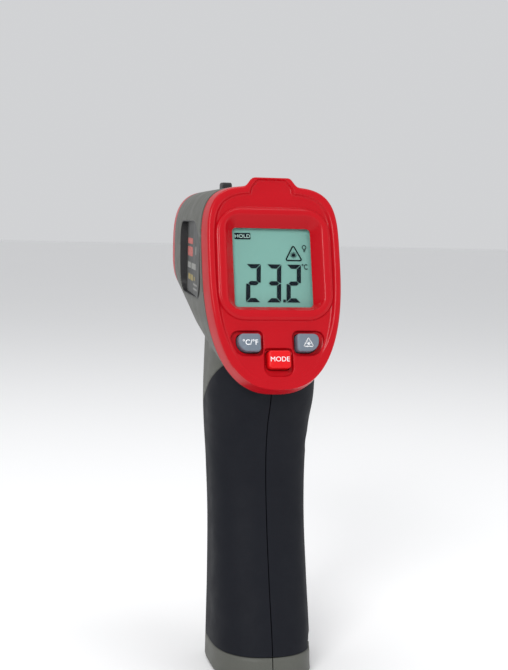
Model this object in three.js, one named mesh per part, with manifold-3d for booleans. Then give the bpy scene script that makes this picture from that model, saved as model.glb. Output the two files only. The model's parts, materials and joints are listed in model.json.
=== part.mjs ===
// A pistol-grip infrared thermometer: a two-half housing with a display bezel at the back, a lens
// nose at the front, a pivoting trigger, three keys and a battery door in the handle.
// Millimetres. +X is the user's right, +Y is the way the nose points, +Z is up. The origin lies
// under the middle of the overall box, on the surface that the handle's foot stands on.
import * as THREE from "three";
import { LoftGeometry } from "three/addons/geometries/LoftGeometry.js";
import { mergeVertices } from "three/addons/utils/BufferGeometryUtils.js";
import Module from "manifold-3d";

const wasm = await Module();
wasm.setup();

// ---------------------------------------------------------------- driving dimensions
const LENGTH = 101; // rear lip of the bezel to the front of the nose ring
const HEAD_TOP = 150; // flat top of the head above the foot
const WALL = 2.2; // head shell
const HANDLE_WALL = 3.6; // handle shell, with the grip cover's pocket in it
const GAP = 0.3; // joint line between pieces that touch
const SEAM = 0.15; // half the parting line between the two housing halves
const WIDE = 30; // beyond the widest point of the part
const REAR = -LENGTH / 2;
const NOSE = LENGTH / 2;

// Display face: a shield outline in a plane that leans back from the vertical.
const FACE = {
  tilt: THREE.MathUtils.degToRad(16),
  z: 89.5, // height of the outline's lowest point
  halfWidth: 20.4,
  height: 62.9,
  waist: 40, // height of the widest point up the face
  nBelow: 2.5, // roundness of the chin
  nAbove: 4.05, // squareness of the shoulders
  skirt: 7, // depth of the bezel's side wall
  chin: 0.8, // how far the bezel's lowest edge stands up the face
};

// Depths behind the bezel's rim plane, towards the nose.
const DEPTH = {
  floor: 1.0, // recessed face inside the rim
  wall: 3.2, // back of the bezel's front wall
  window: [3.5, 4.5],
  glass: [4.8, 6.8],
  backlight: [7.1, 9.1],
  board: [9.4, 11.0],
  lip: 9.1, // end of the bezel's locating lip
};

const DISPLAY = { v: 38.4, width: 24.4, height: 24.5, module: 28 };
const FRAME_V = 39.3; // centre of the raised frame round the display
const KEY_TRAVEL_ROOM = 0.9; // hollow under each switch plunger
const SIDE_KEY = { u: 9, v: 14.6 };
const MODE_KEY = { u: 0, v: 9.6 };

const RING_START = 40; // joint between the housing and the nose ring
const LENS = { z: 127.5, bore: 6.3, radius: 6.1, barrel: 8.2 };
const LASER = { z: 141, radius: 3 };

const PIVOT = { y: -4, z: 107.5, pin: 1.0, bore: 1.1 }; // trigger axle
const TRIGGER_HALF = 6;
const DOOR = { half: 10.6, low: 9.5, high: 73.9, thick: 2.0 };
const DOOR_PIN = { y: -14.5, z: 8.2, pin: 0.9, bore: 1.0, half: 12.2 };

const CELL = { radius: 5.2, x: 5.45, can: 43.7, nub: 0.8 };
const CELL_LEAN = THREE.MathUtils.degToRad(-3.6);

// Screws that hold the halves together: [y, z].
const SCREWS = [
  [-38, 8.5],
  [-23.5, 70.5],
  [21, 114.5],
  [-9, 142],
];

// ---------------------------------------------------------------- materials
function finish(color, roughness, metalness = 0) {
  return new THREE.MeshStandardMaterial({ color, roughness, metalness });
}
const redPlastic = finish(0xc4122a, 0.38);
const greyPlastic = finish(0x6c6f69, 0.6);
const blackRubber = finish(0x22262c, 0.8);
const blackPlastic = finish(0x17181a, 0.55);
const keyGrey = finish(0x77848f, 0.5);
const clearPlastic = finish(0xdfeeea, 0.08);
const displayGlass = finish(0x8fbcab, 0.25);
const whitePlastic = finish(0xe9ebe6, 0.5);
const boardGreen = finish(0x1c5a38, 0.5);
const steel = finish(0xb9bcc0, 0.3, 1);
const brass = finish(0xb48a3c, 0.35, 1);
const lensWhite = finish(0xd9d8cf, 0.4);
const cellSleeve = finish(0x2b3a55, 0.35);
const labelFoil = finish(0x3c3f3e, 0.45);
const redWire = finish(0xb01818, 0.5);
const blackWire = finish(0x141414, 0.5);
const greyWire = finish(0x8d8f92, 0.5);

// ---------------------------------------------------------------- solids
function solid(geometry, matrix = new THREE.Matrix4()) {
  const bare = new THREE.BufferGeometry().copy(geometry).applyMatrix4(matrix);
  bare.deleteAttribute("normal");
  bare.deleteAttribute("uv");
  const merged = mergeVertices(bare, 1e-4);
  return new wasm.Manifold(
    new wasm.Mesh({
      numProp: 3,
      vertProperties: merged.attributes.position.array,
      triVerts: new Uint32Array(merged.index.array),
    }),
  );
}

function geometryOf(manifold) {
  const { vertProperties, triVerts } = manifold.getMesh();
  const geometry = new THREE.BufferGeometry();
  geometry.setAttribute("position", new THREE.BufferAttribute(vertProperties, 3));
  geometry.setIndex(new THREE.BufferAttribute(triVerts, 1));
  geometry.computeVertexNormals();
  return geometry;
}

const model = new THREE.Group();

function add(name, shape, material, parent = model) {
  const geometry = shape.isBufferGeometry ? shape : geometryOf(shape);
  const mesh = new THREE.Mesh(geometry, material);
  mesh.name = name;
  parent.add(mesh);
  return mesh;
}

function join(...pieces) {
  return pieces.reduce((whole, piece) => whole.add(piece));
}

function cut(whole, ...pieces) {
  return pieces.reduce((rest, piece) => rest.subtract(piece), whole);
}

// The main body alone, without the crumbs that cuts through curved walls leave.
function largest(shape) {
  return shape.decompose().reduce((a, b) => (b.volume() > a.volume() ? b : a));
}

function block([x0, x1], [y0, y1], [z0, z1]) {
  const geometry = new THREE.BoxGeometry(x1 - x0, y1 - y0, z1 - z0);
  return solid(geometry.translate((x0 + x1) / 2, (y0 + y1) / 2, (z0 + z1) / 2));
}

const V2 = (x, y) => new THREE.Vector2(x, y);
const V3 = (x, y, z) => new THREE.Vector3(x, y, z);

// A round bar between two points.
function rod(radius, from, to, segments = 12) {
  const start = V3(...from);
  const along = V3(...to).sub(start);
  const turn = new THREE.Quaternion().setFromUnitVectors(V3(0, 1, 0), along.clone().normalize());
  const geometry = new THREE.CylinderGeometry(radius, radius, along.length(), segments);
  const middle = start.addScaledVector(along, 0.5);
  return solid(geometry.applyQuaternion(turn).translate(middle.x, middle.y, middle.z));
}

// A closed outline whose corners, each [x, y, radius], are rounded off.
function roundedShape(corners) {
  const shape = new THREE.Shape();
  corners.forEach(([x, y, radius], i) => {
    const corner = V2(x, y);
    const [beforeX, beforeY] = corners.at(i - 1);
    const [afterX, afterY] = corners[(i + 1) % corners.length];
    const start = V2(beforeX, beforeY).sub(corner).setLength(radius).add(corner);
    const end = V2(afterX, afterY).sub(corner).setLength(radius).add(corner);
    if (i === 0) shape.moveTo(start.x, start.y);
    else shape.lineTo(start.x, start.y);
    shape.quadraticCurveTo(x, y, end.x, end.y);
  });
  shape.closePath();
  return shape;
}

function rectangle(width, height, radius, u = 0, v = 0) {
  const [w, h] = [width / 2, height / 2];
  return roundedShape([
    [u - w, v - h, radius],
    [u + w, v - h, radius],
    [u + w, v + h, radius],
    [u - w, v + h, radius],
  ]);
}

function extrude(shape, z0, z1) {
  const geometry = new THREE.ExtrudeGeometry(shape, {
    depth: z1 - z0,
    bevelEnabled: false,
    curveSegments: 3,
  });
  return geometry.translate(0, 0, z0);
}

// An outline drawn in side view, (y, z), made solid from x0 to x1.
const SIDE_VIEW = new THREE.Matrix4().makeBasis(V3(0, 1, 0), V3(0, 0, 1), V3(1, 0, 0));
function sidePrism(shape, x0, x1) {
  return solid(extrude(shape, x0, x1), SIDE_VIEW);
}

// The points of a shape at a level, without the repeated last one.
function ringOf(shape, level) {
  const points = shape.getPoints(3);
  const distinct = points.filter((p, i) => p.distanceTo(points.at(i - 1)) > 1e-6);
  return distinct.map((p) => V3(p.x, p.y, level));
}

// A solid skinned through a row of rings, whichever way round they are drawn.
function loft(rings) {
  const [first, last] = [rings[0], rings.at(-1)];
  const centre = (ring) => ring.reduce((sum, p) => sum.add(p), V3(0, 0, 0)).divideScalar(ring.length);
  const facing = first.reduce(
    (sum, p, i) => sum.add(p.clone().cross(first[(i + 1) % first.length])),
    V3(0, 0, 0),
  );
  const forwards = facing.dot(centre(last).sub(centre(first))) > 0;
  const sections = forwards ? rings : rings.map((ring) => [...ring].reverse());
  return solid(new LoftGeometry(sections, { capStart: true, capEnd: true }));
}

// A shield outline: rounded below its widest point, squarer above it.
function shield(halfWidth, bottom, waist, top, nBelow, nAbove, points = 28) {
  return Array.from({ length: points }, (_, i) => {
    const [c, s] = [Math.cos((2 * Math.PI * i) / points), Math.sin((2 * Math.PI * i) / points)];
    const [reach, power] = s >= 0 ? [top - waist, 2 / nAbove] : [waist - bottom, 2 / nBelow];
    const x = halfWidth * Math.sign(c) * Math.abs(c) ** power;
    return V2(x, waist + reach * Math.sign(s) * Math.abs(s) ** power);
  });
}

// Stands an outline up in the plane that holds the X axis and the side-view line low to high.
function stand(outline, low, high) {
  const up = high.clone().sub(low).normalize();
  return outline.map((p) => V3(p.x, low.x + up.x * p.y, low.y + up.y * p.y));
}

// ---------------------------------------------------------------- outer form
// A point of the display face in side view: v up the face, depth behind the rim plane.
function facePoint(v, depth) {
  const [s, c] = [Math.sin(FACE.tilt), Math.cos(FACE.tilt)];
  return V2(REAR + v * s + depth * c, FACE.z + v * c - depth * s);
}

// The display face has a frame of its own: x right, y up the face, z out towards the user.
const face = new THREE.Group();
face.position.set(0, REAR, FACE.z);
face.rotation.x = Math.PI / 2 - FACE.tilt;
face.updateMatrix();
model.add(face);

const headTop = new THREE.LineCurve(facePoint(65, FACE.skirt + GAP), V2(NOSE, HEAD_TOP - 0.7));
const headUnder = new THREE.QuadraticBezierCurve(
  facePoint(0.3, FACE.skirt + GAP),
  V2(3.5, 104.5),
  V2(NOSE, 113),
);

function headSection(s, inset) {
  const [low, high] = [headUnder.getPoint(s), headTop.getPoint(s)];
  const height = low.distanceTo(high);
  const mix = (a, b) => THREE.MathUtils.lerp(a, b, s);
  const halfWidth = 21.3 - 2.6 * s - 2.9 * s * s;
  const waist = height * mix(0.636, 0.45);
  // The underside turns boxy close behind the face, where the handle joins it.
  const nBelow = FACE.nBelow + 0.9 * Math.min(1, 2.5 * Math.max(0, s));
  const nAbove = mix(FACE.nAbove, 3.1);
  const outline = shield(halfWidth - inset, inset, waist, height - inset, nBelow, nAbove);
  return stand(outline, low, high);
}

const STEPS = [0, 0.17, 0.34, 0.5, 0.66, 0.82, 0.97];

function headInset(inset) {
  return loft([-0.04, ...STEPS, 1.04].map((s) => headSection(s, inset)));
}

// The head's outside, with a rounded front edge.
function headOutside(grow = 0) {
  const body = STEPS.map((s) => headSection(s, -grow));
  const edge = [
    [0.99, 0.45],
    [1, 1.3],
  ].map(([s, inset]) => headSection(s, inset - grow));
  return loft([...body, ...edge]);
}

// Handle sections: height, back, front and half-width.
const HANDLE = [
  [0, -50, -11, 15.4],
  [12, -47.6, -11.4, 15.3],
  [28, -42.3, -11.2, 15.0],
  [47, -36.9, -9.7, 14.8],
  [64, -34.0, -7.8, 15.3],
  [76, -34.9, -6.7, 16.1],
  [87, -38.9, -7.6, 16.8],
  [106, -42, -6.5, 16.4],
];

function handleSection([z, back, front, halfWidth], inset) {
  const depth = front - back;
  const outline = shield(halfWidth - inset, inset, depth * 0.5, depth - inset, 2.4, 4);
  return stand(outline, V2(back, z), V2(front, z));
}

function handleInset(inset, floor = 0) {
  const rows = HANDLE.map(([z, ...rest]) => [Math.max(z, floor), ...rest]);
  return loft(rows.map((row) => handleSection(row, inset)));
}

function handleOutside() {
  const [foot, ...upper] = HANDLE;
  const [, ...footPlan] = foot;
  const edge = [
    [0, 1.2],
    [0.5, 0.4],
    [1.5, 0],
  ].map(([z, inset]) => handleSection([z, ...footPlan], inset));
  return loft([...edge, ...upper.map((row) => handleSection(row, 0))]);
}

const outerHead = headOutside();
const outerHandle = handleOutside();

// ---------------------------------------------------------------- housing halves
const gripOutline = (edge) =>
  roundedShape([
    [-56, 8 + edge, 1],
    [-18.4 - edge, 8 + edge, 3],
    [-15.5 - edge, 45, 20],
    [-14.5 - edge, 81.5 - edge, 3],
    [-56, 111.4 - edge, 1],
  ]);

const labelOutline = (edge) =>
  roundedShape([
    [-30 + edge, 115 + edge, 7],
    [19 - edge, 115 + edge, 4],
    [19 - edge, 139 - edge, 4],
    [-18 + edge, 139 - edge, 7],
    [-30 + edge, 132.5 - edge, 5],
  ]);
// The label's pocket has a flat floor that runs deeper into the tapering side towards the nose.
const LABEL = { y: -31, x: 21.1, lean: Math.atan(5.2 / 50) };

function labelLayer(edge, from, to) {
  const flat = sidePrism(labelOutline(edge), -LABEL.x + from, -LABEL.x + to);
  const turn = new THREE.Matrix4()
    .makeTranslation(-LABEL.x, LABEL.y, 0)
    .multiply(new THREE.Matrix4().makeRotationZ(-LABEL.lean))
    .multiply(new THREE.Matrix4().makeTranslation(LABEL.x, -LABEL.y, 0));
  return solid(geometryOf(flat), turn);
}

// Everything on the user's side of the joint between the housing and the bezel.
const bezelSide = solid(
  new THREE.BoxGeometry(60, 120, 40).translate(0, 40, 20 - FACE.skirt - GAP),
  face.matrix,
);

const shell = (() => {
  const pocket = cut(handleInset(-1), handleInset(1.8)).intersect(sidePrism(gripOutline(0), -WIDE, WIDE));
  const pastRing = block([-WIDE, WIDE], [RING_START, 60], [90, 160]);
  const outside = join(cut(outerHandle, pocket), cut(outerHead, pastRing));
  const inside = join(headInset(WALL), handleInset(HANDLE_WALL, 3));
  const openings = [
    bezelSide,
    block([-TRIGGER_HALF - 0.4, TRIGGER_HALF + 0.4], [-15, 3.4], [77.7, 111]),
    block([-DOOR.half - GAP, DOOR.half + GAP], [-19, 0], [5, DOOR.high + 0.4]),
    block([-2.1, 2.1], [31.2, 36.8], [140, 160]), // slot for the sight post
  ];
  const springWall = block([-14, 14], [-24.2, -22.2], [80, 92]);
  const boardRails = join(
    block([-14, -8.6], [-20.6, -19.4], [93, 108]),
    block([8.6, 14], [-20.6, -19.4], [93, 108]),
  );
  // What posts and ribs reach into: within the walls, clear of the grip covers' pocket.
  const core = join(headInset(0.6), handleInset(2.6));
  const walls = cut(outside, inside);
  const ribs = join(springWall, boardRails).intersect(core);
  return { core, whole: cut(join(walls, ribs), ...openings) };
})();

// The left half, -X, with blind screw posts; the right half has the wells for the screw heads.
function housingHalf(side) {
  const half = side > 0 ? [SEAM, WIDE] : [-WIDE, -SEAM];
  const outward = (a, b) => (side > 0 ? [a, b] : [-b, -a]);
  const along = (radius, y, z, a, b) => rod(radius, [side * a, y, z], [side * b, y, z]);
  const posts = SCREWS.map(([y, z]) => along(side > 0 ? 3.6 : 2.7, y, z, 0.4, 28));
  posts.push(along(3, PIVOT.y, PIVOT.z, TRIGGER_HALF + 0.5, 28));
  const onSide = (layer) => (side > 0 ? layer.mirror([1, 0, 0]) : layer);
  const backing = onSide(labelLayer(0.1, -0.6, 1.8));
  const pocket = onSide(labelLayer(0, -12, 0));
  const holes = SCREWS.flatMap(([y, z]) =>
    side > 0 ? [along(1.3, y, z, 0, 12), along(2.7, y, z, 8, 28)] : [along(1.15, y, z, 0, 8)],
  );
  holes.push(along(1.05, PIVOT.y, PIVOT.z, TRIGGER_HALF, 11));
  holes.push(along(DOOR_PIN.bore, DOOR_PIN.y, DOOR_PIN.z, 8, DOOR_PIN.half + 0.2));
  const thickened = [backing, ...posts].map((piece) => piece.intersect(shell.core));
  const whole = join(shell.whole, ...thickened);
  return largest(cut(whole, pocket, ...holes).intersect(block(outward(SEAM, WIDE), [-60, 60], [-5, 160])));
}
add("left_housing", housingHalf(-1), greyPlastic);
add("right_housing", housingHalf(1), greyPlastic);

function gripCover(side) {
  const skin = cut(outerHandle, handleInset(1.5), headOutside(GAP), bezelSide);
  const region = sidePrism(gripOutline(GAP), -WIDE, WIDE);
  const half = side > 0 ? block([SEAM, WIDE], [-60, 0], [0, 120]) : block([-WIDE, -SEAM], [-60, 0], [0, 120]);
  const wells = side > 0 ? SCREWS.slice(0, 2).map(([y, z]) => rod(3.9, [8, y, z], [28, y, z])) : [];
  return largest(cut(skin.intersect(region).intersect(half), ...wells));
}
add("left_grip_cover", gripCover(-1), blackRubber);
add("right_grip_cover", gripCover(1), blackRubber);

function label(side) {
  const plate = labelLayer(0.4, -0.5, -0.15);
  return side > 0 ? plate.mirror([1, 0, 0]) : plate;
}
add("left_label", label(-1), labelFoil);
add("right_label", label(1), labelFoil);

// ---------------------------------------------------------------- nose
function noseRing() {
  const front = block([-WIDE, WIDE], [RING_START + GAP, 60], [90, 160]);
  const band = cut(outerHead, headInset(WALL)).intersect(front);
  const lip = cut(headInset(WALL + GAP), headInset(WALL + 1.4));
  const root = cut(headInset(WALL - 0.1), headInset(WALL + 1.4));
  return join(
    band,
    root.intersect(block([-WIDE, WIDE], [RING_START + GAP, RING_START + 2.5], [90, 160])),
    lip.intersect(block([-WIDE, WIDE], [RING_START - 2.2, RING_START + 1], [90, 160])),
  );
}
add("nose_ring", noseRing(), redPlastic);

const alongNose = (radius, z, y0, y1, segments) => rod(radius, [0, y0, z], [0, y1, z], segments);

function nosePlate() {
  const plate = headInset(WALL + GAP).intersect(block([-WIDE, WIDE], [45.5, 47.3], [90, 160]));
  const laserSeat = alongNose(2.8, LASER.z, 45, 46.4);
  return cut(plate, alongNose(8.9, LENS.z, 44, 49, 24), alongNose(1.9, LASER.z, 44, 49), laserSeat);
}
add("nose_plate", nosePlate(), blackPlastic);
add("laser_window", alongNose(2.5, LASER.z, 45.3, 46.1), clearPlastic);

// A turned piece on the nose axis: its profile is a list of [radius, y].
function turned(profile, segments) {
  return new THREE.LatheGeometry(profile.map(([r, y]) => V2(r, y)), segments);
}

const barrelProfile = [
  [4.6, 21],
  [LENS.barrel, 21],
  [LENS.barrel, 44.8],
  [8.6, 45.2],
  [8.6, 48],
  [7.4, 48],
  [5.7, 41.5],
  [5.7, 41.2],
  [LENS.bore, 41.2],
  [LENS.bore, 36.8],
  [4.6, 36.8],
  [4.6, 21],
];
add("optics_barrel", turned(barrelProfile, 24), blackPlastic).position.z = LENS.z;
const lensProfile = [
  [0, 39.6],
  [LENS.radius, 39.6],
  [LENS.radius, 40.9],
  [0, 40.9],
];
add("infrared_lens", turned(lensProfile, 24), lensWhite).position.z = LENS.z;
const sensorProfile = [
  [0, 20.5],
  [4.4, 20.5],
  [4.4, 21.2],
  [3.9, 21.4],
  [3.9, 25],
  [2, 25],
  [2, 24.6],
  [0, 24.6],
];
add("thermopile_sensor", turned(sensorProfile, 20), steel).position.z = LENS.z;
add("sensor_board", block([-9, 9], [18.6, 20.2], [LENS.z - 9, LENS.z + 9]), boardGreen);

const laserProfile = [
  [0, 26],
  [LASER.radius, 26],
  [LASER.radius, 42.3],
  [1.6, 42.3],
  [1.6, 40],
  [0, 40],
];
add("laser_module", turned(laserProfile, 20), brass).position.z = LASER.z;

function opticsBracket() {
  const plate = headInset(WALL + GAP).intersect(block([-WIDE, WIDE], [26.8, 29.3], [112, 160]));
  return cut(plate, alongNose(LENS.barrel + 0.25, LENS.z, 20, 40, 24), alongNose(3.25, LASER.z, 20, 40, 20));
}
add("optics_bracket", opticsBracket(), blackPlastic);

function sightPost() {
  const post = roundedShape([
    [31.5, 146.5, 0.1],
    [36.5, 146.5, 0.1],
    [36.2, 152.4, 0.7],
    [31.9, 152.4, 0.7],
  ]);
  return join(sidePrism(post, -1.8, 1.8), block([-3.4, 3.4], [30.6, 37.4], [145.2, 146.8]));
}
add("sight_post", sightPost(), blackPlastic);

// ---------------------------------------------------------------- display face
function faceRing(inset, level, rise = 0) {
  const { halfWidth, height, waist, nBelow, nAbove } = FACE;
  const top = height + rise - inset;
  const outline = shield(halfWidth - inset, FACE.chin + inset, waist, top, nBelow, nAbove);
  return outline.map((p) => V3(p.x, p.y, level));
}

// The outline of the bezel's inside and of the lip that fits into the housing.
function innerRing(halfWidth, bottom, top, level) {
  const outline = shield(halfWidth, bottom, FACE.waist, top, FACE.nBelow, FACE.nAbove);
  return outline.map((p) => V3(p.x, p.y, level));
}

// The raised sight notch on top of the bezel: a trapezoid with rounded shoulders.
function notchRing(level, top, inset = 0) {
  return ringOf(
    roundedShape([
      [-8.6 + inset, 56, 0.5],
      [8.6 - inset, 56, 0.5],
      [8.6 - inset, 62.4 - inset, 1.2],
      [6.2 - inset * 0.6, top - inset, 1.4],
      [-6.2 + inset * 0.6, top - inset, 1.4],
      [-8.6 + inset, 62.4 - inset, 1.2],
    ]),
    level,
  );
}

// An outline drawn for the right of the face, or its mirror image for the left.
function sided(side, corners) {
  return roundedShape(corners.map(([u, v, radius]) => [side * u, v, radius]));
}

const { u: keyU, v: keyV } = SIDE_KEY;
const sideKeyShape = (side, grow) =>
  sided(side, [
    [keyU - 3.5 - grow, keyV - 2.6 - grow, 1 + grow],
    [keyU + 3.4 + grow, keyV - 2.6 - grow, 3.2 + grow],
    [keyU + 3.4 + grow, keyV + 2.8 + grow, 1.7 + grow],
    [keyU - 3.5 - grow, keyV + 2.8 + grow, 1 + grow],
  ]);
// The hollow round a side key runs out towards the rim.
const sideWell = (side) =>
  sided(side, [
    [keyU - 4.4, keyV - 3.7, 1.6],
    [keyU + 5.4, keyV - 3.7, 4.6],
    [keyU + 5.4, keyV + 3.8, 2.4],
    [keyU - 4.4, keyV + 3.8, 1.6],
  ]);
// Its retaining flange stays clear of the bezel's rounded chin.
const sideFlange = (side) =>
  sided(side, [
    [keyU - 4.2, keyV - 3.5, 1],
    [keyU + 3.4, keyV - 3.5, 3],
    [keyU + 3.4, keyV + 3.6, 1],
    [keyU - 4.2, keyV + 3.6, 1],
  ]);
const modeKeyShape = (grow) => rectangle(7 + 2 * grow, 5.4 + 2 * grow, 1 + grow, MODE_KEY.u, MODE_KEY.v);
const modePocketShape = roundedShape([
  [-4.4, 4.7, 2.6],
  [4.4, 4.7, 2.6],
  [4.4, 13.1, 1.2],
  [-4.4, 13.1, 1.2],
]);

const boardScrews = [-13.4, 13.4].map((u) => [u, 19.6]);

function rearBezel() {
  const { floor, wall, lip } = DEPTH;
  const body = loft([
    faceRing(-0.7, -FACE.skirt, 1.3),
    faceRing(-0.25, -1.8, 0.3),
    faceRing(-0.05, -0.9, 0.1),
    faceRing(0.3, -0.3),
    faceRing(0.9, 0),
  ]);
  const notch = loft([notchRing(-FACE.skirt, 67.5, 1.5), notchRing(-0.8, 65.9), notchRing(0, 65.8, 0.5)]);
  const lipOutside = loft([innerRing(18.4, 4.7, 61.8, -lip), innerRing(18.4, 4.7, 61.8, -FACE.skirt + 1)]);
  const recess = loft([faceRing(2.9, -floor), faceRing(1.8, 0.05)]);
  const notchRecess = loft([notchRing(-floor, 65.2, 2.2), notchRing(0.05, 65.6, 1.5)]);
  const raised = loft([
    ringOf(rectangle(36, 35.8, 8, 0, FRAME_V), -floor - 0.2),
    ringOf(rectangle(35.2, 35, 7.6, 0, FRAME_V), -0.35),
    ringOf(rectangle(34.2, 34, 7.1, 0, FRAME_V), 0),
  ]);
  const funnel = loft([
    ringOf(rectangle(DISPLAY.width, DISPLAY.height, 1.2, 0, DISPLAY.v), -wall - 0.2),
    ringOf(rectangle(30, 29.6, 4.6, 0, FRAME_V), 0.05),
  ]);
  const hollow = loft([innerRing(17, 4.6, 60.4, -FACE.skirt + 0.5), innerRing(17, 4.6, 60.4, -wall)]);
  const mouth = loft([innerRing(17, 6.1, 60.4, -lip - 1), innerRing(17, 6.1, 60.4, -wall - 1)]);
  const pockets = [
    solid(extrude(sideWell(-1), -2.2, 1)),
    solid(extrude(sideWell(1), -2.2, 1)),
    solid(extrude(modePocketShape, -2.2, 1)),
  ];
  const keyHoles = [sideKeyShape(-1, 0.3), sideKeyShape(1, 0.3), modeKeyShape(0.3)];
  const posts = boardScrews.map(([u, v]) => rod(1.9, [u, v, -9.1], [u, v, -2.5]));
  const pilots = boardScrews.map(([u, v]) => rod(0.9, [u, v, -10], [u, v, -4.5], 12));
  const plate = join(cut(join(body, notch, lipOutside), recess, notchRecess), raised);
  const keyCuts = keyHoles.map((shape) => solid(extrude(shape, -4, 0)));
  const open = cut(plate, funnel, hollow, mouth, ...pockets, ...keyCuts);
  return cut(join(open, ...posts), ...pilots);
}
add("rear_bezel", rearBezel(), redPlastic, face);

const plateAt = (shape, [near, far]) => extrude(shape, -far, -near);
const { module: pane, v: paneV } = DISPLAY;
const windowShape = rectangle(pane + 0.4, pane + 0.4, 1, 0, paneV);
add("display_window", plateAt(windowShape, DEPTH.window), clearPlastic, face);
add("lcd_glass", plateAt(rectangle(pane, pane, 0.2, 0, paneV), DEPTH.glass), displayGlass, face);
add("lcd_backlight", plateAt(rectangle(pane, 21.6, 0.2, 0, paneV), DEPTH.backlight), whitePlastic, face);
for (const [name, offset] of [["upper", 12.6], ["lower", -12.6]]) {
  const strip = rectangle(26, 2, 0.2, 0, paneV + offset);
  add(`contact_strip_${name}`, plateAt(strip, DEPTH.backlight), greyWire, face);
}

function displayFrame() {
  const outside = solid(plateAt(rectangle(30.8, 31, 1.2, 0, paneV), [4.8, 9.1]));
  return cut(outside, solid(plateAt(rectangle(pane + 0.4, pane + 0.4, 0.3, 0, paneV), [4, 10])));
}
add("display_frame", displayFrame(), whitePlastic, face);

function mainBoard() {
  const [near, far] = DEPTH.board;
  const outline = shield(15.9, 7.4, 40, 59.2, FACE.nBelow, FACE.nAbove);
  const board = solid(plateAt(new THREE.Shape(outline), [near, far]));
  return cut(board, ...boardScrews.map(([u, v]) => rod(1.1, [u, v, -12], [u, v, -9], 12)));
}
add("main_board", mainBoard(), boardGreen, face);
boardScrews.forEach(([u, v], i) => {
  const head = rod(1.8, [u, v, -12.6], [u, v, -11.3], 12);
  add(`board_screw_${i + 1}`, join(head, rod(0.8, [u, v, -11.5], [u, v, -5.2], 12)), steel, face);
});
add("processor_chip", block([-5, 5], [30, 40], [-12.9, -11.3]), blackPlastic, face);
const buzzerCase = rod(5.5, [0, 50, -15.6], [0, 50, -11.3], 20);
add("buzzer", cut(buzzerCase, rod(1, [0, 50, -16], [0, 50, -14])), blackPlastic, face);

// A key: cap, retaining flange behind the bezel's wall, and a stem down to its switch.
function key(shape, flangeShape, u, v) {
  const cap = loft([
    ringOf(shape(0), -3.6),
    ringOf(shape(0), 0),
    ringOf(shape(-0.25), 0.5),
    ringOf(shape(-0.7), 0.8),
  ]);
  const flange = solid(extrude(flangeShape, -4.4, -3.5));
  return join(cap, flange, rod(1.6, [u, v, -5.7], [u, v, -4], 12));
}

const keys = [
  ["unit", -SIDE_KEY.u, SIDE_KEY.v, (grow) => sideKeyShape(-1, grow), sideFlange(-1), keyGrey],
  ["light", SIDE_KEY.u, SIDE_KEY.v, (grow) => sideKeyShape(1, grow), sideFlange(1), keyGrey],
  ["mode", MODE_KEY.u, MODE_KEY.v, modeKeyShape, modeKeyShape(0.5), redPlastic],
];
for (const [name, u, v, shape, flange, material] of keys) {
  add(`key_${name}`, key(shape, flange, u, v), material, face);
  const body = solid(extrude(rectangle(4.6, 4.6, 0.4, u, v), -9.1, -6.9));
  const well = rod(1.45, [u, v, -7.9 - KEY_TRAVEL_ROOM], [u, v, -6], 12);
  add(`key_switch_${name}`, cut(body, well), blackPlastic, face);
  add(`key_plunger_${name}`, rod(1.25, [u, v, -7.9], [u, v, -5.9], 12), whitePlastic, face);
}

// ---------------------------------------------------------------- trigger
function trigger() {
  const outline = new THREE.Shape();
  outline.moveTo(PIVOT.y + 2.9, PIVOT.z);
  outline.absarc(PIVOT.y, PIVOT.z, 2.9, 0, Math.PI);
  outline.lineTo(-6.9, 103);
  outline.lineTo(-11, 102.3);
  outline.lineTo(-11, 98.6);
  outline.lineTo(-9.6, 97);
  outline.lineTo(-9.6, 80.5);
  outline.quadraticCurveTo(-9.4, 78.7, -7, 78.6);
  outline.lineTo(0.6, 78.6);
  outline.quadraticCurveTo(3.2, 79, 2.7, 81.5);
  outline.quadraticCurveTo(-1.6, 90.5, 2.6, 99.5);
  outline.quadraticCurveTo(2.7, 103, -1.1, 105.2);
  const body = sidePrism(outline, -TRIGGER_HALF, TRIGGER_HALF);
  const hollow = block([-4.2, 4.2], [-12, -2.6], [81, 96.5]);
  const bore = rod(PIVOT.bore, [-8, PIVOT.y, PIVOT.z], [8, PIVOT.y, PIVOT.z]);
  return cut(body, hollow, bore);
}
add("trigger", trigger(), redPlastic);
add("trigger_pin", rod(PIVOT.pin, [-10.5, PIVOT.y, PIVOT.z], [10.5, PIVOT.y, PIVOT.z]), steel);

// A coil of wire round the line that runs from one point to another.
class Coil extends THREE.Curve {
  constructor(turns, length, startRadius, endRadius) {
    super();
    Object.assign(this, { turns, length, startRadius, endRadius });
  }

  getPoint(t) {
    const angle = 2 * Math.PI * this.turns * t;
    const radius = THREE.MathUtils.lerp(this.startRadius, this.endRadius, t);
    return V3(radius * Math.cos(angle), radius * Math.sin(angle), this.length * t);
  }
}

function wire(curve, radius, steps, sides = 6) {
  const section = new THREE.Shape(
    Array.from({ length: sides }, (_, i) => {
      const angle = (2 * Math.PI * i) / sides;
      return V2(radius * Math.cos(angle), radius * Math.sin(angle));
    }),
  );
  return new THREE.ExtrudeGeometry(section, { steps, extrudePath: curve });
}

const SPRING = { y: -21.6, z: 88.5, length: 18.2, radius: 2.4, wire: 0.28 };
const springLine = new Coil(7, SPRING.length, SPRING.radius, SPRING.radius);
const spring = add("trigger_spring", wire(springLine, SPRING.wire, 56, 4), steel);
spring.rotation.x = -Math.PI / 2;
spring.position.set(0, SPRING.y, SPRING.z);

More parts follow.
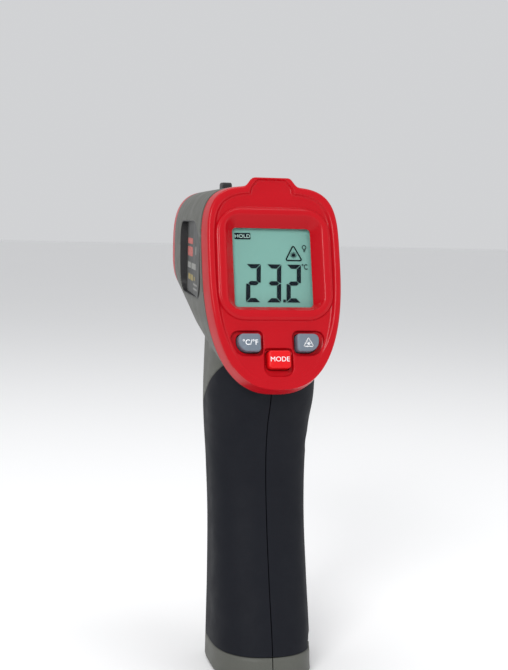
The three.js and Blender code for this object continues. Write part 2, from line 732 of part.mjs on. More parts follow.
const SWITCH_Z = 100.4;
add("trigger_switch_board", block([-9.8, 9.8], [-19.1, -17.7], [93.5, 107]), boardGreen);
function triggerSwitch() {
  const body = block([-3.2, 3.2], [-17.4, -13.6], [SWITCH_Z - 3.2, SWITCH_Z + 3.2]);
  return cut(body, rod(1.7, [0, -16.9, SWITCH_Z], [0, -13, SWITCH_Z], 12));
}
add("trigger_switch_body", triggerSwitch(), blackPlastic);
add("trigger_switch_plunger", rod(1.5, [0, -15.6, SWITCH_Z], [0, -11.2, SWITCH_Z], 12), whitePlastic);

// ---------------------------------------------------------------- battery door and cells
function batteryDoor() {
  const { half, low, high, thick } = DOOR;
  const panel = cut(outerHandle, handleInset(thick)).intersect(block([-half, half], [-20, 0], [low, high]));
  const barrel = rod(2.4, [-half, DOOR_PIN.y, DOOR_PIN.z], [half, DOOR_PIN.y, DOOR_PIN.z], 20);
  const nail = block([-5, 5], [-8.4, 0], [69.2, 70.6]); // groove for a fingernail
  const bore = rod(DOOR_PIN.bore, [-15, DOOR_PIN.y, DOOR_PIN.z], [15, DOOR_PIN.y, DOOR_PIN.z]);
  return cut(join(panel, barrel.intersect(outerHandle)), nail, bore);
}
add("battery_door", batteryDoor(), greyPlastic);
const { half: pinHalf } = DOOR_PIN;
const pinEnd = (x) => [x, DOOR_PIN.y, DOOR_PIN.z];
add("battery_door_pin", rod(DOOR_PIN.pin, pinEnd(-pinHalf), pinEnd(pinHalf)), steel);

// The cells lean with the handle's front. In this frame z runs up along the cells.
const bay = new THREE.Group();
bay.position.set(0, -19.9, 15);
bay.rotation.x = CELL_LEAN;
model.add(bay);

function batteryTray() {
  const outline = roundedShape([
    [-7, -3.6, 1],
    [4.4, -3.6, 0.3],
    [4.4, -2.4, 0.3],
    [-5.7, -2.4, 0.2],
    [-5.7, 47.1, 0.2],
    [4.4, 47.1, 0.3],
    [4.4, 48.3, 0.3],
    [-7, 48.3, 1],
  ]);
  return sidePrism(outline, -10.5, 10.5);
}
add("battery_tray", batteryTray(), blackPlastic, bay);

// A cell from its flat end at z0, with its nub on the end that `up` points to.
function cell(z0, up) {
  const profile = [
    [0, 0],
    [CELL.radius - 0.4, 0],
    [CELL.radius, 0.5],
    [CELL.radius, CELL.can - 0.5],
    [CELL.radius - 0.5, CELL.can],
    [1.9, CELL.can],
    [1.9, CELL.can + CELL.nub],
    [0, CELL.can + CELL.nub],
  ];
  const geometry = turned(profile, 20).rotateX(up * Math.PI * 0.5);
  return geometry.translate(0, 0, z0);
}
add("battery_left", cell(1.5, 1), cellSleeve, bay).position.x = -CELL.x;
add("battery_right", cell(43, -1), cellSleeve, bay).position.x = CELL.x;

function contactSpring(x, plateZ, up) {
  const coil = new Coil(2.5, 2.7 * up, 3.6, 1.8);
  const geometry = wire(coil, 0.25, 18, 4).translate(x, 0, plateZ + 0.1 * up);
  return solid(geometry);
}
const contactPlate = (x0, x1, z0, z1) => block([x0, x1], [-4.2, 4.2], [z0, z1]);
add("bridge_contact", join(contactPlate(-9.8, 9.8, -2.1, -1.7), contactSpring(-CELL.x, -1.7, 1)), steel, bay);
add("positive_contact", contactPlate(-9.8, -1.2, 46.4, 46.8), steel, bay);
const negative = join(contactPlate(1.2, 9.8, 46.4, 46.8), contactSpring(CELL.x, 46.4, -1));
add("negative_contact", negative, steel, bay);

// ---------------------------------------------------------------- screws and wiring
SCREWS.forEach(([y, z], i) => {
  const head = rod(2.4, [8.2, y, z], [9.8, y, z], 14);
  add(`housing_screw_${i + 1}`, join(head, rod(1.1, [-6.5, y, z], [8.4, y, z], 12)), steel);
});

function cable(name, points, radius, steps, material) {
  const curve = new THREE.CatmullRomCurve3(points.map(([x, y, z]) => V3(x, y, z)));
  add(name, wire(curve, radius, steps), material);
}
for (const [name, side, material] of [["red", -1, redWire], ["black", 1, blackWire]]) {
  const route = [
    [6, -17.1, 63.6],
    [7, -17.4, 70],
    [7, -20, 76],
    [7, -28, 80.5],
    [6.5, -33, 92],
    [6, -33.8, 98],
  ];
  cable(`battery_wire_${name}`, route.map(([x, y, z]) => [side * x, y, z]), 0.6, 14, material);
}
const sensorRoute = [[3, 18.3, 128], [3, 10, 129], [3, -10, 127], [3, -20, 122], [3, -26.6, 119]];
cable("sensor_cable", sensorRoute, 0.9, 14, greyWire);
const laserRoute = [[0, 25.7, 141], [-1, 18, 140], [-5, 2, 136], [-6, -16, 130], [-6, -24.2, 127.4]];
cable("laser_wire", laserRoute, 0.6, 14, redWire);
cable("trigger_wire", [[5, -19.4, 96], [5, -23, 97], [4, -28, 101], [3, -31, 105.2]], 0.6, 8, blackWire);

export default model;
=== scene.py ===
# The looks of an infrared thermometer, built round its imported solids: camera, materials, fine shells,
# display contents, printing, floor and light. Points and sizes are in millimetres until a mesh is made.
import json
from math import acos, atan, atan2, cos, pi, radians, sin, tan

import bmesh
import bpy
import numpy as np
from mathutils import Matrix, Vector
from mathutils.geometry import tessellate_polygon

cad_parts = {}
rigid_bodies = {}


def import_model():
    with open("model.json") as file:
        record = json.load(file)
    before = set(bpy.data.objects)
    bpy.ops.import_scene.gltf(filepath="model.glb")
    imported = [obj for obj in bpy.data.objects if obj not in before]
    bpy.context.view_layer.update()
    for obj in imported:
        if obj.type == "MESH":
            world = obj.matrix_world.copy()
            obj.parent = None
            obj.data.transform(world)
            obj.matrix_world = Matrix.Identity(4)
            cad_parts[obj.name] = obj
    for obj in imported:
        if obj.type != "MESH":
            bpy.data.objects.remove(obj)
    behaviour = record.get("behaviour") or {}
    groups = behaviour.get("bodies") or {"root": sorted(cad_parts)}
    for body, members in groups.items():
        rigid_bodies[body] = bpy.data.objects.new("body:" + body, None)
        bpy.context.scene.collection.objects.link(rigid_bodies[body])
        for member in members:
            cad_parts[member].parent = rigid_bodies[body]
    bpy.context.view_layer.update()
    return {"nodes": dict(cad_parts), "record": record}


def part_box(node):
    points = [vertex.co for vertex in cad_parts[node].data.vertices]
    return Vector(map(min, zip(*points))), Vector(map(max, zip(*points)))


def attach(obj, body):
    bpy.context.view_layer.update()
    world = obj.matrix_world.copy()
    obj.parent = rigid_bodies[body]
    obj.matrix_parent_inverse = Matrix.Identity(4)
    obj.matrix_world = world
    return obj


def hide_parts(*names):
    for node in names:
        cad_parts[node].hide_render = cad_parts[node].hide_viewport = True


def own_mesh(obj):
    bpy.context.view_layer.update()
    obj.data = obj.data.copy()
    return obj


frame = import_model()
MM = 0.001

# -------------------- driving sizes, millimetres
# In a name, U and V are places across and up the leaning display face, and a level is measured out of it.
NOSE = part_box("nose_ring")[1].y / MM  # front edge of the nose
REAR = -NOSE  # lip of the bezel
HEAD_TOP = 150.0
SEAM = 0.15  # half the parting line between the housing halves
GAP = 0.3  # joint line between touching pieces
TILT = radians(16)  # lean of the display face
FACE_Z = 89.5  # height of the face's lowest point
WAIST = 40.0  # where up the face it is widest
FACE_HALF = 20.4
FACE_HEIGHT = 62.9
FACE_BELOW, FACE_ABOVE = 2.5, 4.05  # superellipse powers of its chin and brow
SKIRT = 7.0  # depth of the bezel's side wall
FLOOR = -1.0  # level of the recessed face behind the rim plane
CHIN = 0.8  # how far the bezel's lowest edge stands up the face
NOTCH_TOP = 65.8
FRAME_V = 39.3  # centre of the raised frame round the display
DISPLAY_V = 38.4  # centre of the display opening
OPENING = (24.4, 24.5)  # its width and height
INK_LEVEL = -4.66  # between the window and the glass
INK = 0.04  # thickness of everything printed
WELL = -2.2  # level of the floor of the key wells
BACK_WALL = -3.2  # level of the bezel's inner face
KEY_V, MODE_V = 14.6, 9.6  # where the keys stand up the face
CAP_FROM, CAP_TO = 5.5, 12.4  # a side key's inner and outer edge
LEGEND_LEVEL = 0.765  # crown of a key cap
RING_START = 40.0  # where the nose ring meets the housing
HEAD_WALL, HANDLE_WALL = 2.2, 3.6
COVER = 1.8  # depth of the pockets that the grip covers fill
DOOR_WALL = 2.0
LENS_Z, LASER_Z = 127.5, 141.0  # heights of the lens axis and the laser
PIVOT_Y, PIVOT_Z = -4.0, 107.5  # the trigger's pin
HINGE_Y, HINGE_Z = -14.5, 8.2  # the battery door's pin
DOOR_HALF = 10.6  # half the battery door's width
SCREWS = [(-38, 8.5), (-23.5, 70.5), (21, 114.5), (-9, 142)]  # (y, z)
ALL_X, ALL_Y, ALL_Z = (-40, 40), (-80, 80), (-10, 170)  # spans that reach past the object
HEAD_Z = (90, 160)  # a span that takes in the head's front


def new_object(name, data):
    """An object in the scene."""
    made = bpy.data.objects.new(name, data)
    bpy.context.scene.collection.objects.link(made)
    return made


# -------------------- camera
def make_camera():
    """The main view: from behind, a little from the left and above, rolled slightly."""
    yaw, pitch, roll = (radians(a) for a in (13.42, 5.09, 1.36))
    target = Vector((-6.12, -39.9, 105.25)) * MM
    distance = 0.4  # metres
    ahead = Vector((sin(yaw) * cos(pitch), cos(yaw) * cos(pitch), -sin(pitch)))
    right = Vector((cos(yaw), -sin(yaw), 0))
    up = right.cross(ahead)
    right, up = (
        cos(roll) * right + sin(roll) * up,
        cos(roll) * up - sin(roll) * right,
    )
    camera = new_object("camera", bpy.data.cameras.new("camera"))
    camera.matrix_world = Matrix((right, up, -ahead)).transposed().to_4x4()
    camera.location = target - distance * ahead
    camera.data.lens = 71.45
    camera.data.clip_start = 0.01
    bpy.context.scene.camera = camera


make_camera()


# -------------------- materials
class Nodes:
    """A material's node tree, with its places in the part's own frame."""

    def __init__(self, name):
        self.material = bpy.data.materials.new(name)
        self.material.use_nodes = True
        self.tree = self.material.node_tree
        self.shader = self.tree.nodes["Principled BSDF"]
        self.place = self.add("ShaderNodeTexCoord").outputs["Object"]

    def add(self, kind, **settings):
        node = self.tree.nodes.new(kind)
        for key, value in settings.items():
            setattr(node, key, value)
        return node

    def link(self, a, b):
        self.tree.links.new(a, b)

    def noise(self, per_mm, detail=3.0):
        node = self.add("ShaderNodeTexNoise")
        node.inputs["Scale"].default_value = per_mm / MM
        node.inputs["Detail"].default_value = detail
        node.inputs["Roughness"].default_value = 0.55
        self.link(self.place, node.inputs["Vector"])
        return node.outputs["Fac"]

    def spread(self, value, low, high, start=0.3, end=0.7):
        """Maps start..end, which noise mostly fills, to low..high."""
        node = self.add("ShaderNodeMapRange")
        for key, number in zip(("From Min", "From Max", "To Min", "To Max"), (start, end, low, high)):
            node.inputs[key].default_value = number
        self.link(value, node.inputs["Value"])
        return node.outputs["Result"]

    def mix(self, factor, a, b):
        node = self.add("ShaderNodeMix", data_type="RGBA")
        self.link(factor, node.inputs["Factor"])
        for socket, colour in ((node.inputs[6], a), (node.inputs[7], b)):
            if isinstance(colour, tuple):
                socket.default_value = (*colour, 1.0)
            else:
                self.link(colour, socket)
        return node.outputs[2]

    def bump(self, height, depth):
        node = self.add("ShaderNodeBump")
        node.inputs["Distance"].default_value = depth * MM
        node.inputs["Strength"].default_value = 1.0
        self.link(height, node.inputs["Height"])
        self.link(node.outputs["Normal"], self.shader.inputs["Normal"])

    def link_colour(self, colour):
        self.link(colour, self.shader.inputs["Base Color"])

    def link_rough(self, value):
        self.link(value, self.shader.inputs["Roughness"])

    def set(self, **values):
        """Sets the shader's sockets by name, with _ for a space."""
        for socket, value in values.items():
            self.shader.inputs[socket.replace("_", " ")].default_value = value


def shade(colour, factor):
    return tuple(min(1.0, c * factor) for c in colour)


def moulded(name, colour, rough, grain=3.0, depth=0.01, vary=0.08, worn=1.25, coat=0.0, shine=0.5):
    """Moulded plastic or rubber: spark-eroded grain, uneven gloss, handling marks and paler edges."""
    m = Nodes(name)
    cloudy = m.mix(m.noise(0.045, 4.0), shade(colour, 1 - vary), shade(colour, 1 + vary))
    speckled = m.mix(m.spread(m.noise(grain * 0.7, 2.0), 0, 0.35), cloudy, shade(colour, 1 - 2 * vary))
    edges = m.add("ShaderNodeNewGeometry").outputs["Pointiness"]
    rubbed = m.mix(m.spread(edges, 0.0, 0.45, 0.53, 0.62), speckled, shade(colour, worn))
    m.link_colour(rubbed)
    m.link_rough(m.spread(m.noise(0.16, 5.0), rough - 0.06, rough + 0.07))
    m.bump(m.noise(grain, 2.0), depth)
    m.set(Coat_Weight=coat, Coat_Roughness=0.2, IOR=1.48, Specular_IOR_Level=shine)
    return m.material


def metal(name, colour, rough, turned=False):
    """Bare metal with fine scratches; turned metal has rings round the nose axis."""
    m = Nodes(name)
    stretch = m.add("ShaderNodeMapping")
    stretch.inputs["Scale"].default_value = (1, 8, 1) if turned else (8, 1, 1)
    m.link(m.place, stretch.inputs["Vector"])
    scratches = m.add("ShaderNodeTexNoise")
    scratches.inputs["Scale"].default_value = 0.6 / MM
    scratches.inputs["Detail"].default_value = 6.0
    m.link(stretch.outputs["Vector"], scratches.inputs["Vector"])
    worn = scratches.outputs["Fac"]
    m.link_colour(m.mix(worn, shade(colour, 0.8), shade(colour, 1.1)))
    m.link_rough(m.spread(worn, rough - 0.08, rough + 0.1))
    m.bump(worn, 0.004)
    m.set(Metallic=1.0)
    return m.material


def clear(name, colour, alpha):
    """A clear moulded window, with a trace of dust in its gloss."""
    m = Nodes(name)
    m.link_colour(m.mix(m.noise(0.2, 5.0), colour, shade(colour, 0.9)))
    m.link_rough(m.spread(m.noise(0.5, 6.0), 0.04, 0.14))
    m.set(Alpha=alpha, IOR=1.5)
    return m.material


def liquid_crystal(name, colour):
    """The display's reflective backing: grey-green with a very fine cell grid and uneven tint."""
    m = Nodes(name)
    tint = m.mix(m.noise(0.05, 2.0), shade(colour, 0.93), shade(colour, 1.07))
    pixels = m.add("ShaderNodeTexNoise")
    pixels.inputs["Scale"].default_value = 9 / MM
    m.link(m.place, pixels.inputs["Vector"])
    m.link_colour(m.mix(m.spread(pixels.outputs["Fac"], 0, 0.25), tint, shade(colour, 0.85)))
    m.link_rough(m.spread(m.noise(0.3, 4.0), 0.28, 0.4))
    m.bump(pixels.outputs["Fac"], 0.002)
    return m.material


def circuit(name):
    """Green solder mask with faint copper tracks under it."""
    m = Nodes(name)
    tracks = m.add("ShaderNodeTexBrick")
    tracks.inputs["Scale"].default_value = 0.16 / MM
    tracks.inputs["Mortar Size"].default_value = 0.03
    tracks.inputs["Color1"].default_value = (0.012, 0.10, 0.035, 1)
    tracks.inputs["Color2"].default_value = (0.016, 0.13, 0.045, 1)
    tracks.inputs["Mortar"].default_value = (0.05, 0.24, 0.07, 1)
    m.link(m.place, tracks.inputs["Vector"])
    m.link_colour(tracks.outputs["Color"])
    m.link_rough(m.spread(m.noise(0.5, 4.0), 0.25, 0.4))
    m.bump(tracks.outputs["Fac"], 0.02)
    return m.material


# Colour, roughness and the rest of the finish of everything moulded, printed or sheathed.
MOULDED = {
    "red_plastic": ((0.44, 0.003, 0.009), 0.36,
                    dict(grain=3.2, depth=0.006, vary=0.05, worn=1.1, coat=0.2, shine=0.08)),
    "red_key": ((0.66, 0.002, 0.005), 0.42, dict(grain=4.0, depth=0.004, vary=0.04, shine=0.28)),
    "grey_plastic": ((0.092, 0.094, 0.082), 0.5, dict(grain=2.6, depth=0.02, vary=0.07, shine=0.3)),
    "black_rubber": ((0.006, 0.007, 0.011), 0.62, dict(grain=2.2, depth=0.018, vary=0.12, shine=0.16)),
    "black_plastic": ((0.012, 0.012, 0.013), 0.45, dict(grain=3.0, depth=0.01)),
    "key_grey": ((0.13, 0.16, 0.2), 0.45, dict(grain=4.0, depth=0.004, vary=0.04)),
    "lcd_ink": ((0.002, 0.007, 0.012), 0.6, dict(grain=6.0, depth=0.001, vary=0.1, shine=0.1)),
    "white_plastic": ((0.75, 0.76, 0.73), 0.45, dict(vary=0.03, worn=1.05)),
    "legend": ((0.85, 0.86, 0.88), 0.5, dict(grain=8.0, depth=0.001, vary=0.03, worn=1.05)),
    "elastomer": ((0.16, 0.16, 0.18), 0.6, {}),
    "ir_lens": ((0.55, 0.53, 0.44), 0.32, dict(grain=1.0, depth=0.004, vary=0.05, worn=1.0)),
    "cell_sleeve": ((0.012, 0.03, 0.11), 0.28, dict(grain=1.0, depth=0.002, coat=0.4)),
    "label": ((0.016, 0.017, 0.015), 0.45, dict(grain=5.0, depth=0.003, vary=0.12)),
    "label_red": ((0.4, 0.06, 0.045), 0.45, dict(grain=5.0, depth=0.002)),
    "label_pale": ((0.2, 0.2, 0.185), 0.45, dict(grain=5.0, depth=0.002)),
    "label_yellow": ((0.24, 0.18, 0.03), 0.45, dict(grain=5.0, depth=0.002)),
    "wire_red": ((0.42, 0.008, 0.008), 0.38, dict(depth=0.004)),
    "wire_black": ((0.01, 0.01, 0.01), 0.38, dict(depth=0.004)),
    "wire_grey": ((0.26, 0.27, 0.28), 0.42, dict(depth=0.004)),
}
MATERIALS = {name: moulded(name, colour, rough, **rest) for name, (colour, rough, rest) in MOULDED.items()}
MATERIALS |= {
    "clear_window": clear("clear_window", (0.03, 0.04, 0.04), 0.06),
    "lcd": liquid_crystal("lcd", (0.2, 0.44, 0.38)),
    "lcd_letters": liquid_crystal("lcd_letters", (0.6, 0.92, 0.82)),
    "circuit_board": circuit("circuit_board"),
    "steel": metal("steel", (0.55, 0.56, 0.58), 0.3),
    "brass": metal("brass", (0.62, 0.42, 0.14), 0.3, turned=True),
}


def finish_surface(mesh, material, angle):
    """One material, smooth but for edges sharper than an angle in degrees."""
    mesh.materials.clear()
    mesh.materials.append(MATERIALS[material])
    mesh.polygons.foreach_set("use_smooth", [True] * len(mesh.polygons))
    mesh.set_sharp_from_angle(angle=radians(angle))


def dress_cad_nodes():
    """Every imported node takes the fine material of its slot, and is smooth where it is round."""
    for row in frame["record"]["subparts"]:
        finish_surface(frame["nodes"][row["node"]].data, row["material_slot"], 35)


dress_cad_nodes()


# -------------------- mesh helpers
class Skin:
    """Vertices in millimetres and faces, built up ring by ring."""

    def __init__(self):
        self.points = []
        self.faces = []

    def ring(self, points):
        start = len(self.points)
        self.points.extend(map(tuple, points))
        return list(range(start, start + len(points)))

    def bridge(self, a, b):
        n = len(a)
        self.faces += [(a[i], a[(i + 1) % n], b[(i + 1) % n], b[i]) for i in range(n)]

    def rings(self, rows, start=None):
        """Skins a row of rings, from a loop already there if one is given. Returns the last loop."""
        loops = ([start] if start else []) + [self.ring(row) for row in rows]
        for a, b in zip(loops, loops[1:]):
            self.bridge(a, b)
        return loops[-1]

    def loft(self, rows):
        """A closed body through a row of rings, flat at both ends."""
        first = self.ring(rows[0])
        last = self.rings(rows[1:], first)
        self.fill(first)
        self.fill(last)

    def fill(self, outer, holes=()):
        loops = [outer, *holes]
        flat = [i for loop in loops for i in loop]
        corners = tessellate_polygon([[Vector(self.points[i]) for i in loop] for loop in loops])
        self.faces += [tuple(flat[i] for i in corner) for corner in corners]

    def solid(self, name, material, body, node=None, place=None, angle=32):
        return finish_piece(name, self.points, self.faces, material, body, node, place, angle)


def clean(mesh, weld=True, outward=True):
    """Merges points that meet and turns the faces outwards."""
    work = bmesh.new()
    work.from_mesh(mesh)
    if weld:
        bmesh.ops.remove_doubles(work, verts=work.verts, dist=1e-7)
    if outward:
        bmesh.ops.recalc_face_normals(work, faces=work.faces)
    work.to_mesh(mesh)
    work.free()


def finish_piece(name, points, faces, material, body, node=None, place=None, angle=32, outward=True):
    """A declared piece from points in millimetres, welded and turned outwards unless it is lettering."""
    points = np.asarray(points, float)
    if place is not None:
        points = place(points)
    mesh = bpy.data.meshes.new(name)
    mesh.from_pydata((points * MM).tolist(), [], faces)
    if outward:
        clean(mesh)
    return declare(new_object(name, mesh), material, body, node, angle)


def declare(piece, material, body, node, angle):
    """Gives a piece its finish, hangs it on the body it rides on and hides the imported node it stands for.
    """
    finish_surface(piece.data, material, angle)
    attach(piece, body)
    if node:
        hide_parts(node)
    return piece


def on_face(points):
    """From the display face's frame, (right, up the face, out to the user), to the part's frame."""
    u, v, out = points.T
    s, c = sin(TILT), cos(TILT)
    return np.stack([u, REAR + v * s - out * c, FACE_Z + v * c + out * s], 1)


def level(outline, height):
    return np.column_stack([outline, np.full(len(outline), height)])


def resample(points, count):
    """Points of a closed outline at even distances along it, from its first point."""
    closed = np.vstack([points, points[:1]])
    along = np.r_[0, np.cumsum(np.hypot(*np.diff(closed, axis=0).T))]
    at = np.linspace(0, along[-1], count, endpoint=False)
    return np.column_stack([np.interp(at, along, closed[:, k]) for k in (0, 1)])


def rounded(corners, count=96):
    """An outline whose corners, each (x, y, radius), are true arcs."""
    points = []
    for i, (x, y, radius) in enumerate(corners):
        here = np.array([x, y])
        to_last = np.array(corners[i - 1][:2]) - here
        to_next = np.array(corners[(i + 1) % len(corners)][:2]) - here
        to_last, to_next = to_last / np.hypot(*to_last), to_next / np.hypot(*to_next)
        half = acos(np.clip(to_last @ to_next, -1, 1)) / 2
        reach = radius / tan(half)
        centre = here + (to_last + to_next) / np.hypot(*(to_last + to_next)) * radius / sin(half)
        start, end = here + reach * to_last - centre, here + reach * to_next - centre
        turn = atan2(start[0] * end[1] - start[1] * end[0], start @ end)
        for t in np.linspace(0, turn, 13):
            c, s = cos(t), sin(t)
            points.append(centre + [c * start[0] - s * start[1], s * start[0] + c * start[1]])
    return resample(np.array(points), count)


def rectangle(width, height, radius, u=0.0, v=0.0, count=96):
    w, h = width / 2, height / 2
    corners = [(u - w, v - h), (u + w, v - h), (u + w, v + h), (u - w, v + h)]
    return rounded([(*corner, radius) for corner in corners], count)


def grown(outline, distance):
    """The outline moved outwards by a distance, or inwards by a negative one."""
    ahead = np.roll(outline, -1, 0) - np.roll(outline, 1, 0)
    normal = np.column_stack([ahead[:, 1], -ahead[:, 0]]) / np.hypot(*ahead.T)[:, None]
    area = (outline[:, 0] * np.roll(outline[:, 1], -1) - np.roll(outline[:, 0], -1) * outline[:, 1]).sum()
    return outline + normal * distance * (1 if area > 0 else -1)


def circle(radius, count=64, u=0.0, v=0.0):
    t = np.linspace(0, 2 * pi, count, endpoint=False)
    return np.column_stack([u + radius * np.cos(t), v + radius * np.sin(t)])


def boolean(piece, other, operation="DIFFERENCE"):
    """Applies a boolean with a throwaway piece."""
    modifier = piece.modifiers.new("cut", "BOOLEAN")
    modifier.object, modifier.operation, modifier.solver = other, operation, "MANIFOLD"
    made = bpy.data.meshes.new_from_object(piece.evaluated_get(bpy.context.evaluated_depsgraph_get()))
    piece.modifiers.remove(modifier)
    piece.data = made
    bpy.data.objects.remove(other)


# -------------------- outlines shared by the pieces
def shield(half, bottom, waist, top, below, above, count=160):
    """A rounded shield: two superellipse halves, of powers below and above, that meet at the waist."""
    angle = np.linspace(0, 2 * pi, 2400, endpoint=False)
    c, s = np.cos(angle), np.sin(angle)
    power = 2 / np.where(s >= 0, above, below)
    reach = np.where(s >= 0, top - waist, waist - bottom)
    across, up = np.sign(c) * np.abs(c) ** power, np.sign(s) * np.abs(s) ** power
    return resample(np.column_stack([half * across, waist + reach * up]), count)


FACE_CENTRE = np.array([0.0, FRAME_V])
DENSE = 1200  # points of an outline before the spokes sample it


def spoke_lengths(outline, angles):
    """How far a star-shaped outline reaches from the face's centre at each angle."""
    around = np.unwrap(np.arctan2(*(outline - FACE_CENTRE).T[::-1]))
    order = np.argsort(around % (2 * pi))
    turn = (around % (2 * pi))[order]
    return np.interp(angles, turn, np.hypot(*(outline - FACE_CENTRE)[order].T), period=2 * pi)


def dense_shield(inset, rise=0.0):
    """The face's outline, set in by a distance, with its top raised."""
    top = FACE_HEIGHT + rise - inset
    return shield(FACE_HALF - inset, CHIN + inset, WAIST, top, FACE_BELOW, FACE_ABOVE, DENSE)


SPOKES = np.sort(np.arctan2(*(resample(dense_shield(0), 288) - FACE_CENTRE).T[::-1]) % (2 * pi))


def spokes(*outlines, blend=0.35):
    """The union of star-shaped outlines on the shared spokes, with a small fillet between them."""
    reach = np.array([spoke_lengths(outline, SPOKES) for outline in outlines])
    high = reach.max(0)
    joined = high + blend * np.log(np.exp((reach - high) / blend).sum(0))
    return FACE_CENTRE + joined[:, None] * np.column_stack([np.cos(SPOKES), np.sin(SPOKES)])


def notch(inset, top, radius):
    """The sight notch that stands above the top of the bezel."""
    return rounded(
        [(-9.6 + inset, 38.3, 0.1), (9.6 - inset, 38.3, 0.1), (8.6 - inset, 62.4, 0.3),
         (6.2 - inset * 0.9, top, radius), (-6.2 + inset * 0.9, top, radius), (-8.6 + inset, 62.4, 0.3)],
        DENSE,
    )


def bezel_ring(inset, height, rise=0.0, notch_inset=None, notch_top=NOTCH_TOP, radius=1.4):
    """The bezel's outline, notch and all, at a level of the face."""
    side = inset if notch_inset is None else notch_inset
    return level(spokes(dense_shield(inset, rise), notch(side, notch_top, radius)), height)


def frame_ring(width, tall, radius, height, v=FRAME_V):
    """A rounded rectangle round the display, at a level of the face."""
    return level(spokes(rectangle(width, tall, radius, 0, v, DENSE)), height)


def side_outline(side, corners):
    """The outline on one side of the face, from the corners on its right."""
    points = [(side * u, v, r) for u, v, r in corners]
    return rounded(points if side > 0 else points[::-1], 96)


WELL_CORNERS = [(4.6, 10.9, 1.6), (14.4, 10.9, 4.6), (14.4, 18.4, 2.4), (4.6, 18.4, 1.6)]
CAP_CORNERS = [(CAP_FROM, 12.0, 1.0), (CAP_TO, 12.0, 3.2), (CAP_TO, 17.4, 1.7), (CAP_FROM, 17.4, 1.0)]
MODE_WELL = rounded([(-4.4, 4.7, 2.6), (4.4, 4.7, 2.6), (4.4, 13.1, 1.2), (-4.4, 13.1, 1.2)], 96)
MODE_CAP = rectangle(7.0, 5.4, 1.0, 0, MODE_V)
KEYS = {
    "key_unit": (side_outline(-1, WELL_CORNERS), side_outline(-1, CAP_CORNERS), "key_grey"),
    "key_light": (side_outline(1, WELL_CORNERS), side_outline(1, CAP_CORNERS), "key_grey"),
    "key_mode": (MODE_WELL, MODE_CAP, "red_key"),
}


# -------------------- bezel
def sunk(ring):
    """The rim stands proud round the display and dies away into the face round the chin."""
    up = np.clip((ring[:, 1] - 7) / 17, 0, 1)
    proud = up * up * (3 - 2 * up)
    to_floor = np.clip(FLOOR - ring[:, 2], -1, 0)
    near_top = np.clip(1 + ring[:, 2] / 1.45, 0, 1) ** 0.5
    lowered = ring.copy()
    lowered[:, 2] = ring[:, 2] + (1 - proud) * to_floor * near_top
    return lowered


def quarter_round(start, steps):
    """(along, up) round a quarter circle of radius 1, from its steep end to its level end."""
    return [(1 - cos(a), sin(a)) for a in np.linspace(start, pi / 2, steps)]


